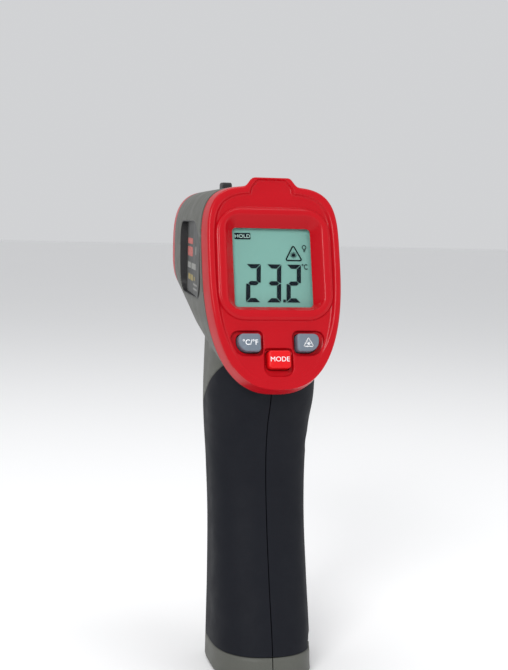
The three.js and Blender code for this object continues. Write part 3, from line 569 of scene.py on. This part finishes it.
def bezel():
    """The red display shield: skirt, proud rim, sunk face, raised frame, display funnel and key wells."""
    skin = Skin()
    skirt = skin.rings([
        bezel_ring(1.5, BACK_WALL),
        bezel_ring(1.5, -SKIRT, 1.3, 2.5, 65.5),
        bezel_ring(-0.55, -SKIRT, 1.3, 1.6, 65.7),
        bezel_ring(-0.7, -SKIRT + 0.15, 1.3, 1.5, NOTCH_TOP),
        bezel_ring(-0.45, -4.2, 0.8, 0.8, NOTCH_TOP),
        bezel_ring(-0.25, -1.8, 0.3, 0.2, 65.75),
    ])
    inner_back = list(range(len(SPOKES)))
    rim = []
    for along, up in quarter_round(0.05, 9):
        notch_inset, notch_top = 0.2 + 0.6 * along, 65.75 - 0.15 * along
        row = bezel_ring(-0.1 + 0.75 * along, -0.8 + 0.8 * up, 0.15 * (1 - up), notch_inset, notch_top)
        rim.append(sunk(row))
    # Inside the rim: (inset, level, notch inset, notch top), down to the sunk face.
    hollow = [
        (1.45, 0.03, 1.5, 65.35), (1.75, -0.04, 1.75, 65.25), (1.98, -0.22, 1.95, 65.15),
        (2.15, -0.5, 2.1, 65.05), (2.35, -0.78, 2.25, 64.9), (2.65, -0.94, 2.45, 64.7),
        (3.05, FLOOR, 2.75, 64.4),
    ]
    recess = skin.rings(rim + [sunk(bezel_ring(i, h, 0, n, t, 0.9)) for i, h, n, t in hollow], skirt)
    # The raised frame, with a bead round it: (width, height, corner radius, level).
    raised = [
        (36.6, 35.7, 8.8, FLOOR), (36.1, 35.2, 8.6, -0.93), (35.75, 34.85, 8.4, -0.7),
        (35.5, 34.6, 8.25, -0.42), (35.15, 34.25, 8.05, -0.26), (34.8, 33.9, 7.9, -0.22),
        (34.5, 33.6, 7.75, -0.17), (34.2, 33.3, 7.6, 0.0), (33.7, 32.8, 7.35, 0.06),
    ]
    raised_v = FRAME_V - 0.35
    base = skin.ring(frame_ring(*raised[0], raised_v))
    plateau = skin.rings([frame_ring(*row, raised_v) for row in raised[1:]], base)
    funnel_rows = [frame_ring(30.6, 30.2, 4.9, 0.06)]
    for t in np.linspace(0.03, 1, 9):
        middle = FRAME_V + (DISPLAY_V - FRAME_V) * t
        funnel_rows.append(frame_ring(30 - 5.6 * t, 29.6 - 5.1 * t, 4.5 - 3.3 * t, -3.4 * t, middle))
    window = skin.rings(funnel_rows, plateau)
    wells, cuts = [], []
    fillet = 0.35
    for well, cap, _ in KEYS.values():
        edge = skin.ring(level(grown(well, fillet), FLOOR))
        rows = [level(grown(well, fillet - along * fillet), FLOOR - down * fillet)
                for down, along in quarter_round(0.3, 5)]
        rows += [level(grown(well, -d), WELL + h) for d, h in ((0.05, 0.35), (0.12, 0.12), (0.35, 0))]
        floor = skin.rings(rows, edge)
        mouth = skin.ring(level(grown(cap, GAP), WELL))
        skin.fill(floor, [mouth])
        cuts.append(skin.rings([level(grown(cap, GAP), BACK_WALL)], mouth))
        wells.append(edge)
    skin.fill(recess, [base, *wells])
    # Behind the opening, a lip holds the window's edge.
    behind, lip_end = -3.55, -5.0
    lip = [(*OPENING, 1.2, behind), (28.6, 28.4, 1.6, behind), (28.6, 28.4, 1.6, lip_end),
           (31, 30.6, 2.6, lip_end), (31, 30.6, 2.6, BACK_WALL)]
    lip_foot = skin.rings([frame_ring(*row, DISPLAY_V) for row in lip], window)
    skin.fill(inner_back, [lip_foot, *cuts])
    skin.solid("bezel_shell", "red_plastic", "housing", "rear_bezel", on_face, 38)


def key(name):
    """A key cap with a rounded edge and a slightly crowned top."""
    _, cap, material = KEYS[name]
    skin = Skin()
    foot, edge, inset, rise = -3.6, -0.1, 0.75, 0.7
    rows = [level(cap, foot), level(cap, edge)]
    rows += [level(grown(cap, -inset * along), edge + rise * up) for along, up in quarter_round(0.25, 7)]
    middle = (cap.min(0) + cap.max(0)) / 2
    for share, lift in ((0.8, 0.05), (0.55, 0.11), (0.28, 0.15)):
        rows.append(level(middle + (grown(cap, -inset) - middle) * share, edge + rise + lift))
    skin.loft(rows)
    skin.solid(name + "_cap", material, name + "_body", name, on_face, 40)


# -------------------- printing
def printed_text(name, text, size, u, v, height, material, body, bold=0.0, wide=1.0):
    """Lettering from Blender's own font, laid on the display face as a thin solid."""
    curve = bpy.data.curves.new(name, "FONT")
    curve.body, curve.size, curve.align_x, curve.align_y = text, size, "CENTER", "CENTER"
    curve.extrude, curve.offset, curve.resolution_u = INK / 2, bold, 6
    letters = new_object(name + "_curve", curve)
    mesh = bpy.data.meshes.new_from_object(letters.evaluated_get(bpy.context.evaluated_depsgraph_get()))
    bpy.data.objects.remove(letters)
    points = np.array([vertex.co for vertex in mesh.vertices], float)
    points[:, :2] -= (points[:, :2].max(0) + points[:, :2].min(0)) / 2
    points = points * [wide, 1, 1] + [u, v, height]
    faces = [tuple(p.vertices) for p in mesh.polygons]
    finish_piece(name, points, faces, material, body, None, on_face, 30, False)


def printed_shapes(name, outlines, height, material, body, place=on_face):
    """Flat printed shapes as one thin piece."""
    skin = Skin()
    for outline in outlines:
        outline = np.array(outline, float)
        skin.loft([level(outline, height - INK / 2), level(outline, height + INK / 2)])
    skin.solid(name, material, body, None, place, 30)


def stroke(points, width):
    """A polyline as a row of overlapping bars with round ends."""
    bars = []
    for a, b in zip(points, points[1:]):
        a, b = np.array(a, float), np.array(b, float)
        ahead = (b - a) / np.hypot(*(b - a))
        base = atan2(ahead[1], ahead[0])
        ends = [(b, t) for t in np.linspace(-pi / 2, pi / 2, 7)]
        ends += [(a, t) for t in np.linspace(pi / 2, 1.5 * pi, 7)]
        bars.append([end + width / 2 * np.array([cos(base + t), sin(base + t)]) for end, t in ends])
    return bars


def digit(value, u, v):
    """A seven-segment 2 or 3 with mitred bars, leaning a little to the right."""
    w, h, bar, gap = 2.25, 5.9, 1.3, 0.15
    tip, shoulder = w - bar * 0.5, w - bar
    top = [(-w + gap, h), (w - gap, h), (w - bar - gap, h - bar), (-w + bar + gap, h - bar)]
    middle = [(-tip, 0), (-shoulder, bar / 2), (shoulder, bar / 2), (tip, 0),
              (shoulder, -bar / 2), (-shoulder, -bar / 2)]
    right = [(w, h - gap), (w, gap), (w - bar * 0.45, gap * 1.5),
             (w - bar, bar / 2 + gap), (w - bar, h - bar - gap)]

    def turned_over(points, across, over):
        return [(x * across, y * over) for x, y in points]

    lower = turned_over(right, -1, -1) if value == 2 else turned_over(right, 1, -1)
    bars = [top, right, middle, lower, turned_over(top, 1, -1)]
    return [[(u + x + 0.05 * y, v + y) for x, y in bar] for bar in bars]


def burst(count, u, v, start, end, width):
    """Short rays round a point."""
    rays = []
    for a in np.linspace(0, 2 * pi, count, endpoint=False):
        c, s = cos(a), sin(a)
        rays += stroke([(u + start * c, v + start * s), (u + end * c, v + end * s)], width)
    return rays


def display_contents():
    """What the display reads: three figures, a decimal point, a unit and small status marks."""
    v = DISPLAY_V
    shapes = digit(2, -5.9, v - 4.6) + digit(3, 0.5, v - 4.6) + digit(2, 6.7, v - 4.6)
    shapes.append(rectangle(0.85, 0.85, 0.1, 3.55, v - 10.05, 24))
    triangle = rounded([(4.45, v + 2.6, 0.35), (9.65, v + 2.6, 0.35), (7.05, v + 7.4, 0.35)], 48)
    shapes += stroke([*triangle, triangle[0]], 0.4)
    shapes.append(circle(0.55, 24, 7.05, v + 4.3))
    shapes += burst(12, 7.05, v + 4.3, 0.4, 1.0, 0.15)
    bulb = circle(0.6, 24, 10.5, v + 6.8)
    shapes += stroke([*bulb, bulb[0]], 0.22) + stroke([(10.25, v + 5.85), (10.75, v + 5.85)], 0.22)
    shapes += stroke([(10.3, v + 5.45), (10.7, v + 5.45)], 0.2)
    printed_shapes("display_figures", shapes, INK_LEVEL, "lcd_ink", "housing")
    hold_u, hold_v = -8.75, v + 10.0
    box = rectangle(5.0, 2.0, 0.15, hold_u, hold_v, 40)
    printed_shapes("display_hold_box", [box], INK_LEVEL, "lcd_ink", "housing")
    printed_text("display_hold_word", "HOLD", 1.6, hold_u, hold_v, INK_LEVEL + 0.05, "lcd_letters", "housing",
                 -0.01, 1.12)
    printed_text("display_unit", "°C", 2.3, 10.4, v + 0.7, INK_LEVEL, "lcd_ink", "housing", 0.035, 0.74)


def key_legends():
    u, top, ink = (CAP_FROM + CAP_TO) / 2, LEGEND_LEVEL, "legend"
    printed_text("legend_unit", "°C/°F", 2.25, 0.1 - u, KEY_V + 0.1, top, ink, "key_unit_body", 0.012, 0.95)
    low = KEY_V - 1.2
    triangle = rounded([(u - 1.5, low, 0.2), (u + 1.5, low, 0.2), (u, low + 2.7, 0.2)], 48)
    shapes = stroke([*triangle, triangle[0]], 0.34) + burst(6, u, low + 0.85, 0, 0.55, 0.16)
    printed_shapes("legend_light", shapes, top, ink, "key_light_body")
    printed_text("legend_mode", "MODE", 2.05, 0.0, MODE_V, top, ink, "key_mode_body", -0.006, 1.03)


# -------------------- head and handle bodies
def face_point(v, depth):
    """The (y, z) of a point up the middle of the face and a depth behind it."""
    s, c = sin(TILT), cos(TILT)
    return np.array([REAR + v * s + depth * c, FACE_Z + v * c - depth * s])


HEAD_TOP_LINE = (face_point(65, 7.3), np.array([NOSE, HEAD_TOP - 0.7]))
HEAD_UNDER = (face_point(0.3, 7.3), np.array([3.5, 104.5]), np.array([NOSE, 113.0]))
# The handle's sections up its height: (z, back, front, half width).
HANDLE_ROWS = np.array([
    [0, -50, -11, 15.4], [12, -47.6, -11.4, 15.3], [28, -42.3, -11.2, 15.0], [47, -36.9, -9.7, 14.8],
    [64, -34, -7.8, 15.3], [76, -34.9, -6.7, 16.1], [87, -38.9, -7.6, 16.8], [106, -42, -6.5, 16.4],
])


def stand(outline, low, high):
    """Puts an (x, height) outline on the plane through low and high, each (y, z)."""
    ahead = (high - low) / np.hypot(*(high - low))
    across = low + outline[:, 1:] * ahead
    return np.column_stack([outline[:, 0], across])


def head_section(s, inset):
    """The head's outline a share s of the way from the bezel to the nose."""
    high = HEAD_TOP_LINE[0] * (1 - s) + HEAD_TOP_LINE[1] * s
    a, b, c = HEAD_UNDER
    low = a * (1 - s) ** 2 + b * 2 * s * (1 - s) + c * s * s
    tall = np.hypot(*(high - low))
    waist = tall * (0.636 + (0.45 - 0.636) * s)
    below = FACE_BELOW + 0.9 * min(1, 2.5 * max(0, s))
    above = FACE_ABOVE + (3.1 - FACE_ABOVE) * s
    half = 21.3 - 2.6 * s - 2.9 * s * s
    return stand(shield(half - inset, inset, waist, tall - inset, below, above), low, high)


def cubic_rows(rows, count):
    """Catmull-Rom rows through the given ones."""
    rows = np.asarray(rows, float)
    padded = np.vstack([2 * rows[0] - rows[1], rows, 2 * rows[-1] - rows[-2]])
    out = []
    for t in np.linspace(0, len(rows) - 1, count):
        i = min(int(t), len(rows) - 2)
        f = t - i
        p0, p1, p2, p3 = padded[i:i + 4]
        square, cube = 2 * p0 - 5 * p1 + 4 * p2 - p3, 3 * p1 - p0 - 3 * p2 + p3
        out.append(0.5 * (2 * p1 + (p2 - p0) * f + square * f * f + cube * f ** 3))
    return np.array(out)


def handle_section(z, back, front, half, inset):
    depth = front - back
    outline = shield(half - inset, inset, depth * 0.5, depth - inset, 2.4, 4)
    return stand(outline, np.array([back, z]), np.array([front, z]))


def bare(rows):
    """A plain closed loft, for boolean work."""
    skin = Skin()
    skin.loft(rows)
    mesh = bpy.data.meshes.new("tool")
    mesh.from_pydata((np.array(skin.points) * MM).tolist(), [], skin.faces)
    clean(mesh, weld=False)
    return new_object("tool", mesh)


def head(inset=0.0):
    """The head, or the space inside its wall, which then runs past both its ends."""
    stations = [(s, inset) for s in np.linspace(0, 0.97, 40)]
    if inset:
        stations = [(-0.08, inset), *stations, (1.05, inset)]
    else:  # rounded at the nose
        stations += [(0.98, 0.12), (0.988, 0.35), (0.994, 0.7), (1.0, 1.3)]
    return bare([head_section(*station) for station in stations])


def handle(inset=0.0, floor=0.0):
    """The handle, or the space inside its wall and above a floor."""
    rows = cubic_rows(HANDLE_ROWS, 60)
    rows = rows[rows[:, 0] >= max(floor, 0 if inset else 1.6)]
    sections = [handle_section(*row, inset) for row in rows]
    if not inset:
        foot = HANDLE_ROWS[0][1:]
        edge = ((0, 1.2), (0.12, 0.8), (0.4, 0.45), (0.85, 0.15), (1.4, 0))
        sections = [handle_section(z, *foot, i) for z, i in edge] + sections
    return bare(sections)


def box_tool(x, y, z):
    """A box from three (low, high) spans."""
    plan = np.array([(x[0], y[0]), (x[1], y[0]), (x[1], y[1]), (x[0], y[1])], float)
    return bare([level(plan, z[0]), level(plan, z[1])])


def side_prism(outline, x):
    """A (y, z) outline swept along a span of X."""
    return bare([np.column_stack([np.full(len(outline), end), outline]) for end in x])


def rod_tool(radius, start, end, count=48):
    start, end = Vector(start), Vector(end)
    across = (end - start).orthogonal().normalized()
    other = (end - start).normalized().cross(across)
    turns = np.linspace(0, 2 * pi, count, endpoint=False)
    spokes_out = [radius * (cos(t) * across + sin(t) * other) for t in turns]
    return bare([[tuple(middle + spoke) for spoke in spokes_out] for middle in (start, end)])


def behind_bezel():
    """Everything on the user's side of the plane where the housing meets the bezel."""
    depth = -(SKIRT + GAP)
    plan = np.array([(-60, -30), (60, -30), (60, 110), (-60, 110)], float)
    return bare([on_face(level(plan, out)) for out in (depth, depth + 60)])


def finish_object(piece, name, material, body, node=None, angle=32):
    """Turns a worked-on body into a named piece of the object."""
    piece.name = name
    piece.data.name = name
    return declare(piece, material, body, node, angle)


def copy_of(piece):
    """A second throwaway body, because a boolean uses up its tool."""
    return new_object("tool", piece.data.copy())


def grip_outline(edge):
    """A grip cover's (y, z) outline, set in by an edge. It wraps the back of the handle."""
    return rounded([(-56, 8 + edge, 1), (-18.4 - edge, 8 + edge, 3), (-15.5 - edge, 45, 20),
                    (-14.5 - edge, 81.5 - edge, 3), (-56, 111.4 - edge, 1)], 200)


def label_outline(edge):
    """The label pocket's (y, z) outline, set in by an edge."""
    return rounded([(-30 + edge, 115 + edge, 7), (19 - edge, 115 + edge, 4), (19 - edge, 139 - edge, 4),
                    (-18 + edge, 139 - edge, 24), (-30 + edge, 132.5 - edge, 6)], 200)


LABEL_Y, LABEL_X, LABEL_LEAN = -31.0, 21.1, atan(5.2 / 50)  # aft edge and lean of its floor


def on_label(points, side):
    """From (y, z, out from the pocket floor) to the part's frame on one side of the head."""
    y, z, out = points.T
    s, c = sin(LABEL_LEAN), cos(LABEL_LEAN)
    along = (y - LABEL_Y) / c
    return np.column_stack([side * (LABEL_X - along * s + out * c), LABEL_Y + along * c + out * s, z])


def label_tool(side, edge, low, high):
    """The label's outline as a prism out of one side of the head."""
    return bare([on_label(level(label_outline(edge), out), side) for out in (low, high)])


def housing_halves():
    """Two fine shells with every opening cut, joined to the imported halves' ribs and screw posts."""
    whole = head()
    boolean(whole, handle(), "UNION")
    boolean(whole, behind_bezel())
    boolean(whole, box_tool(ALL_X, (RING_START, 70), HEAD_Z))
    hollow = head(HEAD_WALL)
    boolean(hollow, handle(HANDLE_WALL, HANDLE_WALL), "UNION")
    core = copy_of(hollow)
    pocket = handle(-1)
    boolean(pocket, handle(COVER))
    boolean(pocket, side_prism(grip_outline(0), ALL_X), "INTERSECT")
    boolean(whole, pocket)
    for side in (-1, 1):
        boolean(whole, label_tool(side, 0, 0, 8))
    boolean(whole, hollow)
    boolean(whole, box_tool((-6.4, 6.4), (-15, 3.4), (77.7, 111)))  # trigger
    boolean(whole, box_tool((-DOOR_HALF - GAP, DOOR_HALF + GAP), (-19, 0), (5, 74.3)))  # battery door
    boolean(whole, box_tool((-2.1, 2.1), (31.2, 36.8), (143, 160)))  # sight
    for y, z in SCREWS:
        boolean(whole, rod_tool(2.7, (8.2, y, z), (30, y, z)))
    tongue = head(1.3)
    boolean(tongue, handle(2.7, 2.7), "UNION")
    boolean(tongue, copy_of(whole), "INTERSECT")
    boolean(tongue, box_tool((-SEAM - 0.05, SEAM - 0.03), ALL_Y, ALL_Z), "INTERSECT")
    for name, side in (("left", -1), ("right", 1)):
        half = copy_of(whole)
        boolean(half, box_tool(sorted((side * SEAM, side * ALL_X[1])), ALL_Y, ALL_Z), "INTERSECT")
        if side < 0:  # a tongue on this half closes the parting line from inside
            boolean(half, tongue, "UNION")
        ribs = cad_body(name + "_housing")
        boolean(ribs, copy_of(core), "INTERSECT")
        boolean(half, ribs, "UNION")
        finish_object(half, name + "_shell", "grey_plastic", "housing", name + "_housing", 30)
    bpy.data.objects.remove(whole)
    bpy.data.objects.remove(core)


def cad_body(name):
    """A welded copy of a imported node, for boolean work."""
    twin = copy_of(frame["nodes"][name])
    clean(twin.data, outward=False)
    return twin


def grip_covers():
    """Rubber covers that fill the handle's pockets, a joint line short of their edges."""
    for name, side in (("left", -1), ("right", 1)):
        cover = handle()
        boolean(cover, handle(COVER - GAP))
        boolean(cover, side_prism(grip_outline(GAP), (side * SEAM, side * ALL_X[1])), "INTERSECT")
        boolean(cover, head())
        boolean(cover, behind_bezel())
        if side > 0:
            for y, z in SCREWS[:2]:
                boolean(cover, rod_tool(3.9, (5, y, z), (30, y, z)))
        finish_object(cover, name + "_grip", "black_rubber", "housing", name + "_grip_cover", 30)


# The label's print in each colour, as blocks of (length, height, corner radius, y, z).
LABEL_PRINT = {
    "label_red": [(19, 1.9, 0.3, 4, 132.3), (19, 3.1, 0.3, 4, 128.9)],
    "label_pale": [(3, 2.6, 0.4, -17, 129.6), (12, 1.9, 0.2, 7, 124.4), (16, 1.9, 0.2, -9.5, 124.4),
                   (14.5, 0.55, 0.15, -16, 117.4), (14.5, 0.55, 0.15, -16, 118.8)],
    "label_yellow": [(9, 1.9, 0.2, 6, 120.6), (8, 1.9, 0.2, -4, 120.6), (3, 1.2, 0.2, -13, 120.6)],
}


def labels():
    """Side labels: a thin foil, printed with plain blocks and bars, in a pocket whose wall carries a black
    sheet as painted shade.
    """
    for name, side in (("left", -1), ("right", 1)):
        def place(points, side=side):
            return on_label(points, side)

        skin = Skin()
        edge = ((0.4, 0.15), (0.4, 0.3), (0.43, 0.34), (0.5, 0.36))  # (inset, level) round the foil
        skin.loft([level(label_outline(inset), up) for inset, up in edge])
        skin.solid(name + "_plate", "label", "housing", name + "_label", place, 40)
        for material, blocks in LABEL_PRINT.items():
            outlines = [rectangle(*block, 40) for block in blocks]
            printed_shapes(f"{name}_{material}_print", outlines, 0.37, material, "housing", place)
        # A thin black sheet over the pocket wall: painted shade, standing in for the shadow on the grey wall.
        painted_shade_sheet = label_tool(side, 0.02, 0.05, 8)
        boolean(painted_shade_sheet, label_tool(side, 0.32, -1, 9))
        boolean(painted_shade_sheet, head(0.08), "INTERSECT")
        finish_object(painted_shade_sheet, name + "_label_painted_shade", "black_plastic", "housing")


# -------------------- nose
def turned(name, profile, z, material, node, count=96):
    """A body turned about the nose axis from (radius, y) points, closed at the axis or on itself."""
    rows = []
    for radius, y in profile:
        ring = circle(radius, count)
        rows.append(np.column_stack([ring[:, 0], np.full(count, y), z + ring[:, 1]]))
    skin = Skin()
    if profile[0][0] < 0.2:
        skin.loft(rows)
    else:
        first = skin.ring(rows[0])
        skin.bridge(skin.rings(rows[1:], first), first)
    skin.solid(name, material, "housing", node, None, 35)


def nose():
    """The red ring, the plate inside it, and the lens in its hood with the laser's window above."""
    ring = head()
    boolean(ring, head(HEAD_WALL))
    boolean(ring, box_tool(ALL_X, (RING_START + GAP, 70), HEAD_Z), "INTERSECT")
    finish_object(ring, "nose_rim", "red_plastic", "housing", "nose_ring", 30)
    plate = head(HEAD_WALL + GAP)
    boolean(plate, box_tool(ALL_X, (45.5, 47.3), HEAD_Z), "INTERSECT")
    boolean(plate, rod_tool(8.9, (0, 40, LENS_Z), (0, 52, LENS_Z), 96))
    boolean(plate, rod_tool(1.9, (0, 40, LASER_Z), (0, 52, LASER_Z)))
    boolean(plate, rod_tool(2.8, (0, 44, LASER_Z), (0, 46.4, LASER_Z)))
    finish_object(plate, "nose_face", "black_plastic", "housing", "nose_plate", 30)
    hood = [(4.6, 21), (8.0, 21), (8.2, 21.2), (8.2, 44.8), (8.35, 45.05), (8.6, 45.3), (8.6, 47.7),
            (8.5, 47.92), (8.3, 48.0), (7.7, 48.0), (7.45, 47.9), (7.3, 47.6)]
    for i in range(6):  # stepped baffles down the hood
        y, r = 47.0 - i, 7.18 - 0.26 * i
        hood += [(r, y), (r - 0.12, y - 0.5), (r - 0.24, y - 0.55)]
    hood += [(5.7, 41.2), (6.3, 41.2), (6.3, 36.8), (4.6, 36.8)]
    turned("lens_hood_barrel", hood, LENS_Z, "black_plastic", "optics_barrel")
    lens = [(0.05, 39.6), (5.9, 39.6), (6.1, 39.75), (6.1, 40.75), (5.95, 40.9), (5.5, 40.92)]
    lens += [(5.2, 40.82), (4.2, 40.7), (3.0, 40.6), (1.5, 40.54), (0.05, 40.52)]
    turned("lens_disc", lens, LENS_Z, "ir_lens", "infrared_lens")
    window = [(0.05, 45.3), (2.4, 45.3), (2.5, 45.4), (2.5, 46.0), (2.4, 46.1), (0.05, 46.1)]
    turned("laser_cover", window, LASER_Z, "clear_window", "laser_window", 48)


# -------------------- trigger
def trigger():
    """The trigger: a (y, z) outline with a finger hollow, its cheeks dished inside a bevelled lip."""
    half, dish, count = 6.0, 0.9, 220
    eye = [(cos(a), sin(a)) for a in np.linspace(0, pi, 24)]
    points = [(PIVOT_Y + 2.9 * c, PIVOT_Z + 2.9 * s) for c, s in eye]
    points += [(-6.9, 103), (-11, 102.3), (-11, 98.6), (-9.6, 97), (-9.6, 80.5)]

    def bend(*corners):
        a, b, c = map(np.array, corners)
        for t in np.linspace(0, 1, 24):
            points.append(tuple((1 - t) ** 2 * a + 2 * t * (1 - t) * b + t * t * c))

    bend((-9.6, 80.5), (-9.4, 78.7), (-7, 78.6))
    bend((0.6, 78.6), (3.2, 79), (2.7, 81.5))
    bend((2.7, 81.5), (-1.6, 90.5), (2.6, 99.5))
    bend((2.6, 99.5), (2.7, 103), (-1.1, 105.2))
    outline = np.array(points)
    keep = [0]
    for i in range(1, len(outline)):
        if np.hypot(*(outline[i] - outline[keep[-1]])) > 0.05:
            keep.append(i)
    outline = resample(outline[keep], count)
    rows = []
    for a in np.linspace(0, pi / 2, 6):
        step = dish * (1 - sin(a))
        rows.append((grown(outline, -step), -half + step))
    rows += [(row, -x) for row, x in rows[::-1]]
    body = bare([np.column_stack([np.full(count, x), row]) for row, x in rows])
    boolean(body, box_tool((-4.2, 4.2), (-12, -2.6), (81, 96.5)))
    boolean(body, rod_tool(1.1, (-8, PIVOT_Y, PIVOT_Z), (8, PIVOT_Y, PIVOT_Z)))
    finish_object(body, "trigger_blade", "red_plastic", "trigger_body", "trigger", 40)


def return_spring():
    """The coil spring behind the trigger, at its rest length."""
    turns, wire, steps = 7, 0.28, 28
    section = circle(1, 10)
    low, high = (np.array(corner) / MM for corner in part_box("trigger_spring"))
    middle = (low + high) / 2
    radius = (high[2] - low[2]) / 2 - wire
    start, end = low[1] + wire, high[1] - wire
    skin = Skin()
    rows = []
    for t in np.linspace(0, 1, turns * steps + 1):
        a = 2 * pi * turns * t
        outward = np.array([cos(a), 0, sin(a)])
        rise = (end - start) / (2 * pi * turns)
        along = np.array([-sin(a) * radius, rise, cos(a) * radius])
        across = np.cross(outward, along / np.linalg.norm(along))
        centre = np.array([middle[0], start + (end - start) * t, middle[2]]) + outward * radius
        rows.append(centre + wire * (section[:, :1] * outward + section[:, 1:] * across))
    skin.loft(rows)
    spring = skin.solid("return_spring", "steel", "housing", "trigger_spring", None, 60)
    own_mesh(spring)


# -------------------- battery door, screws and sight
def handle_front(z):
    """How far forward the handle reaches at a height."""
    return float(np.interp(z, HANDLE_ROWS[:, 0], HANDLE_ROWS[:, 2]))


def battery_door():
    """A panel cut from the handle's front wall, with a hinge barrel, a nail slot and finger grooves."""
    def hinge_rod(radius, half):
        return rod_tool(radius, (-half, HINGE_Y, HINGE_Z), (half, HINGE_Y, HINGE_Z))

    panel = handle()
    boolean(panel, handle(DOOR_WALL))
    boolean(panel, box_tool((-DOOR_HALF, DOOR_HALF), (-20, 0), (9.5, 73.9)), "INTERSECT")
    barrel = hinge_rod(2.4, DOOR_HALF)
    boolean(barrel, handle(), "INTERSECT")
    boolean(panel, barrel, "UNION")
    boolean(panel, box_tool((-5, 5), (-8.4, 0), (69.2, 70.6)))
    for i in range(4):
        z = 60.5 + 2.1 * i
        y = handle_front(z) + 0.3
        boolean(panel, rod_tool(0.55, (-5.5, y, z), (5.5, y, z), 20))
    boolean(panel, hinge_rod(1.0, 15))
    finish_object(panel, "door_panel", "grey_plastic", "battery_door_body", "battery_door", 30)


def screws():
    """Cross-head screws along X: a plain end, a rolled thread and a domed head."""
    for i, (y, z) in enumerate(SCREWS, 1):
        low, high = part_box(f"housing_screw_{i}")
        head_top, shank = high[0] / MM, low[0] / MM
        profile = [(0.05, shank), (0.7, shank), (0.95, shank + 0.5)]
        for x in np.arange(shank + 0.8, 8.0, 0.5):
            profile += [(0.95, x), (1.15, x + 0.15), (0.95, x + 0.3)]
        profile += [(1.1, 8.15), (2.1, 8.2), (2.25, 8.4), (2.2, head_top - 0.55), (1.9, head_top - 0.2),
                    (1.4, head_top), (0.05, head_top)]
        body = bare([np.column_stack([np.full(48, x), circle(radius, 48, y, z)]) for radius, x in profile])
        for w, h in ((0.35, 1.35), (1.35, 0.35)):
            boolean(body, box_tool((head_top - 1.0, head_top + 1), (y - w, y + w), (z - h, z + h)))
        finish_object(body, f"cross_screw_{i}", "steel", "housing", f"housing_screw_{i}", 35)


def sight():
    """The sight stands on a root plate that is trapped inside the housing."""
    low, high = (np.array(c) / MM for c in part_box("sight_post"))
    wide, deep, _ = high - low
    post_wide, post_deep = 3.6, 5.0
    base, root, top = low[2], low[2] + 1.6, high[2]
    middle = (low[1] + high[1]) / 2
    plan = [(wide, deep, base), (wide, deep, root), (post_wide, post_deep, root + 0.01)]
    for down, inset in ((0.9, 0), (0.4, 0.08), (0.12, 0.25), (0, 0.5)):
        z = top - down
        plan.append((post_wide - 2 * inset, post_deep - 0.6 * (z - root) / 6 - 2 * inset, z))
    rows = [level(rectangle(w, d, 0.35, 0, middle, 64), z) for w, d, z in plan]
    finish_object(bare(rows), "front_sight", "black_plastic", "housing", "sight_post", 35)


bezel()
for key_name in KEYS:
    key(key_name)
key_legends()
display_contents()
housing_halves()
grip_covers()
labels()
nose()
trigger()
return_spring()
battery_door()
screws()
sight()

for thing in list(bpy.context.scene.objects):
    # The shells' long boolean faces shade better without it.
    if thing.type == "MESH" and not thing.hide_render and "_shell" not in thing.name:
        weigh = thing.modifiers.new("shading", "WEIGHTED_NORMAL")
        weigh.keep_sharp = True


# -------------------- floor and lights
def floor():
    mesh = bpy.data.meshes.new("floor")
    half = 6.0  # metres
    corners = [(-half, -half, 0), (half, -half, 0), (half, half, 0), (-half, half, 0)]
    mesh.from_pydata(corners, [], [(0, 1, 2, 3)])
    m = Nodes("floor_paint")
    pale = (0.93, 0.93, 0.93)
    m.link(m.mix(m.noise(0.004), shade(pale, 0.99), pale), m.shader.inputs["Base Color"])
    m.set(Roughness=0.7)
    mesh.materials.append(m.material)
    new_object("floor", mesh)


def light(name, place, size, power):
    """A soft white panel, in metres and watts, turned to the middle of the object."""
    lamp = bpy.data.lights.new(name, "AREA")
    lamp.shape, lamp.size, lamp.size_y = "RECTANGLE", size[0], size[1]
    lamp.energy = power
    panel = new_object(name, lamp)
    panel.location = place
    panel.rotation_euler = (Vector((0, -0.02, 0.1)) - Vector(place)).to_track_quat("-Z", "Y").to_euler()


def studio():
    bpy.context.scene.view_settings.view_transform = "Standard"
    world = bpy.data.worlds.new("studio")
    world.use_nodes = True
    background = world.node_tree.nodes["Background"]
    background.inputs["Color"].default_value = (0.97, 0.98, 1.0, 1)
    background.inputs["Strength"].default_value = 0.66
    bpy.context.scene.world = world
    light("key_light", (-0.45, -0.8, 0.65), (0.35, 0.35), 5.6)
    light("fill_light", (0.75, -0.6, 0.35), (0.5, 0.7), 1.5)
    light("top_light", (0.0, 0.1, 0.9), (0.6, 0.4), 2.6)
    light("rim_light", (-0.7, 0.35, 0.35), (0.3, 0.6), 0.25)


floor()
studio()
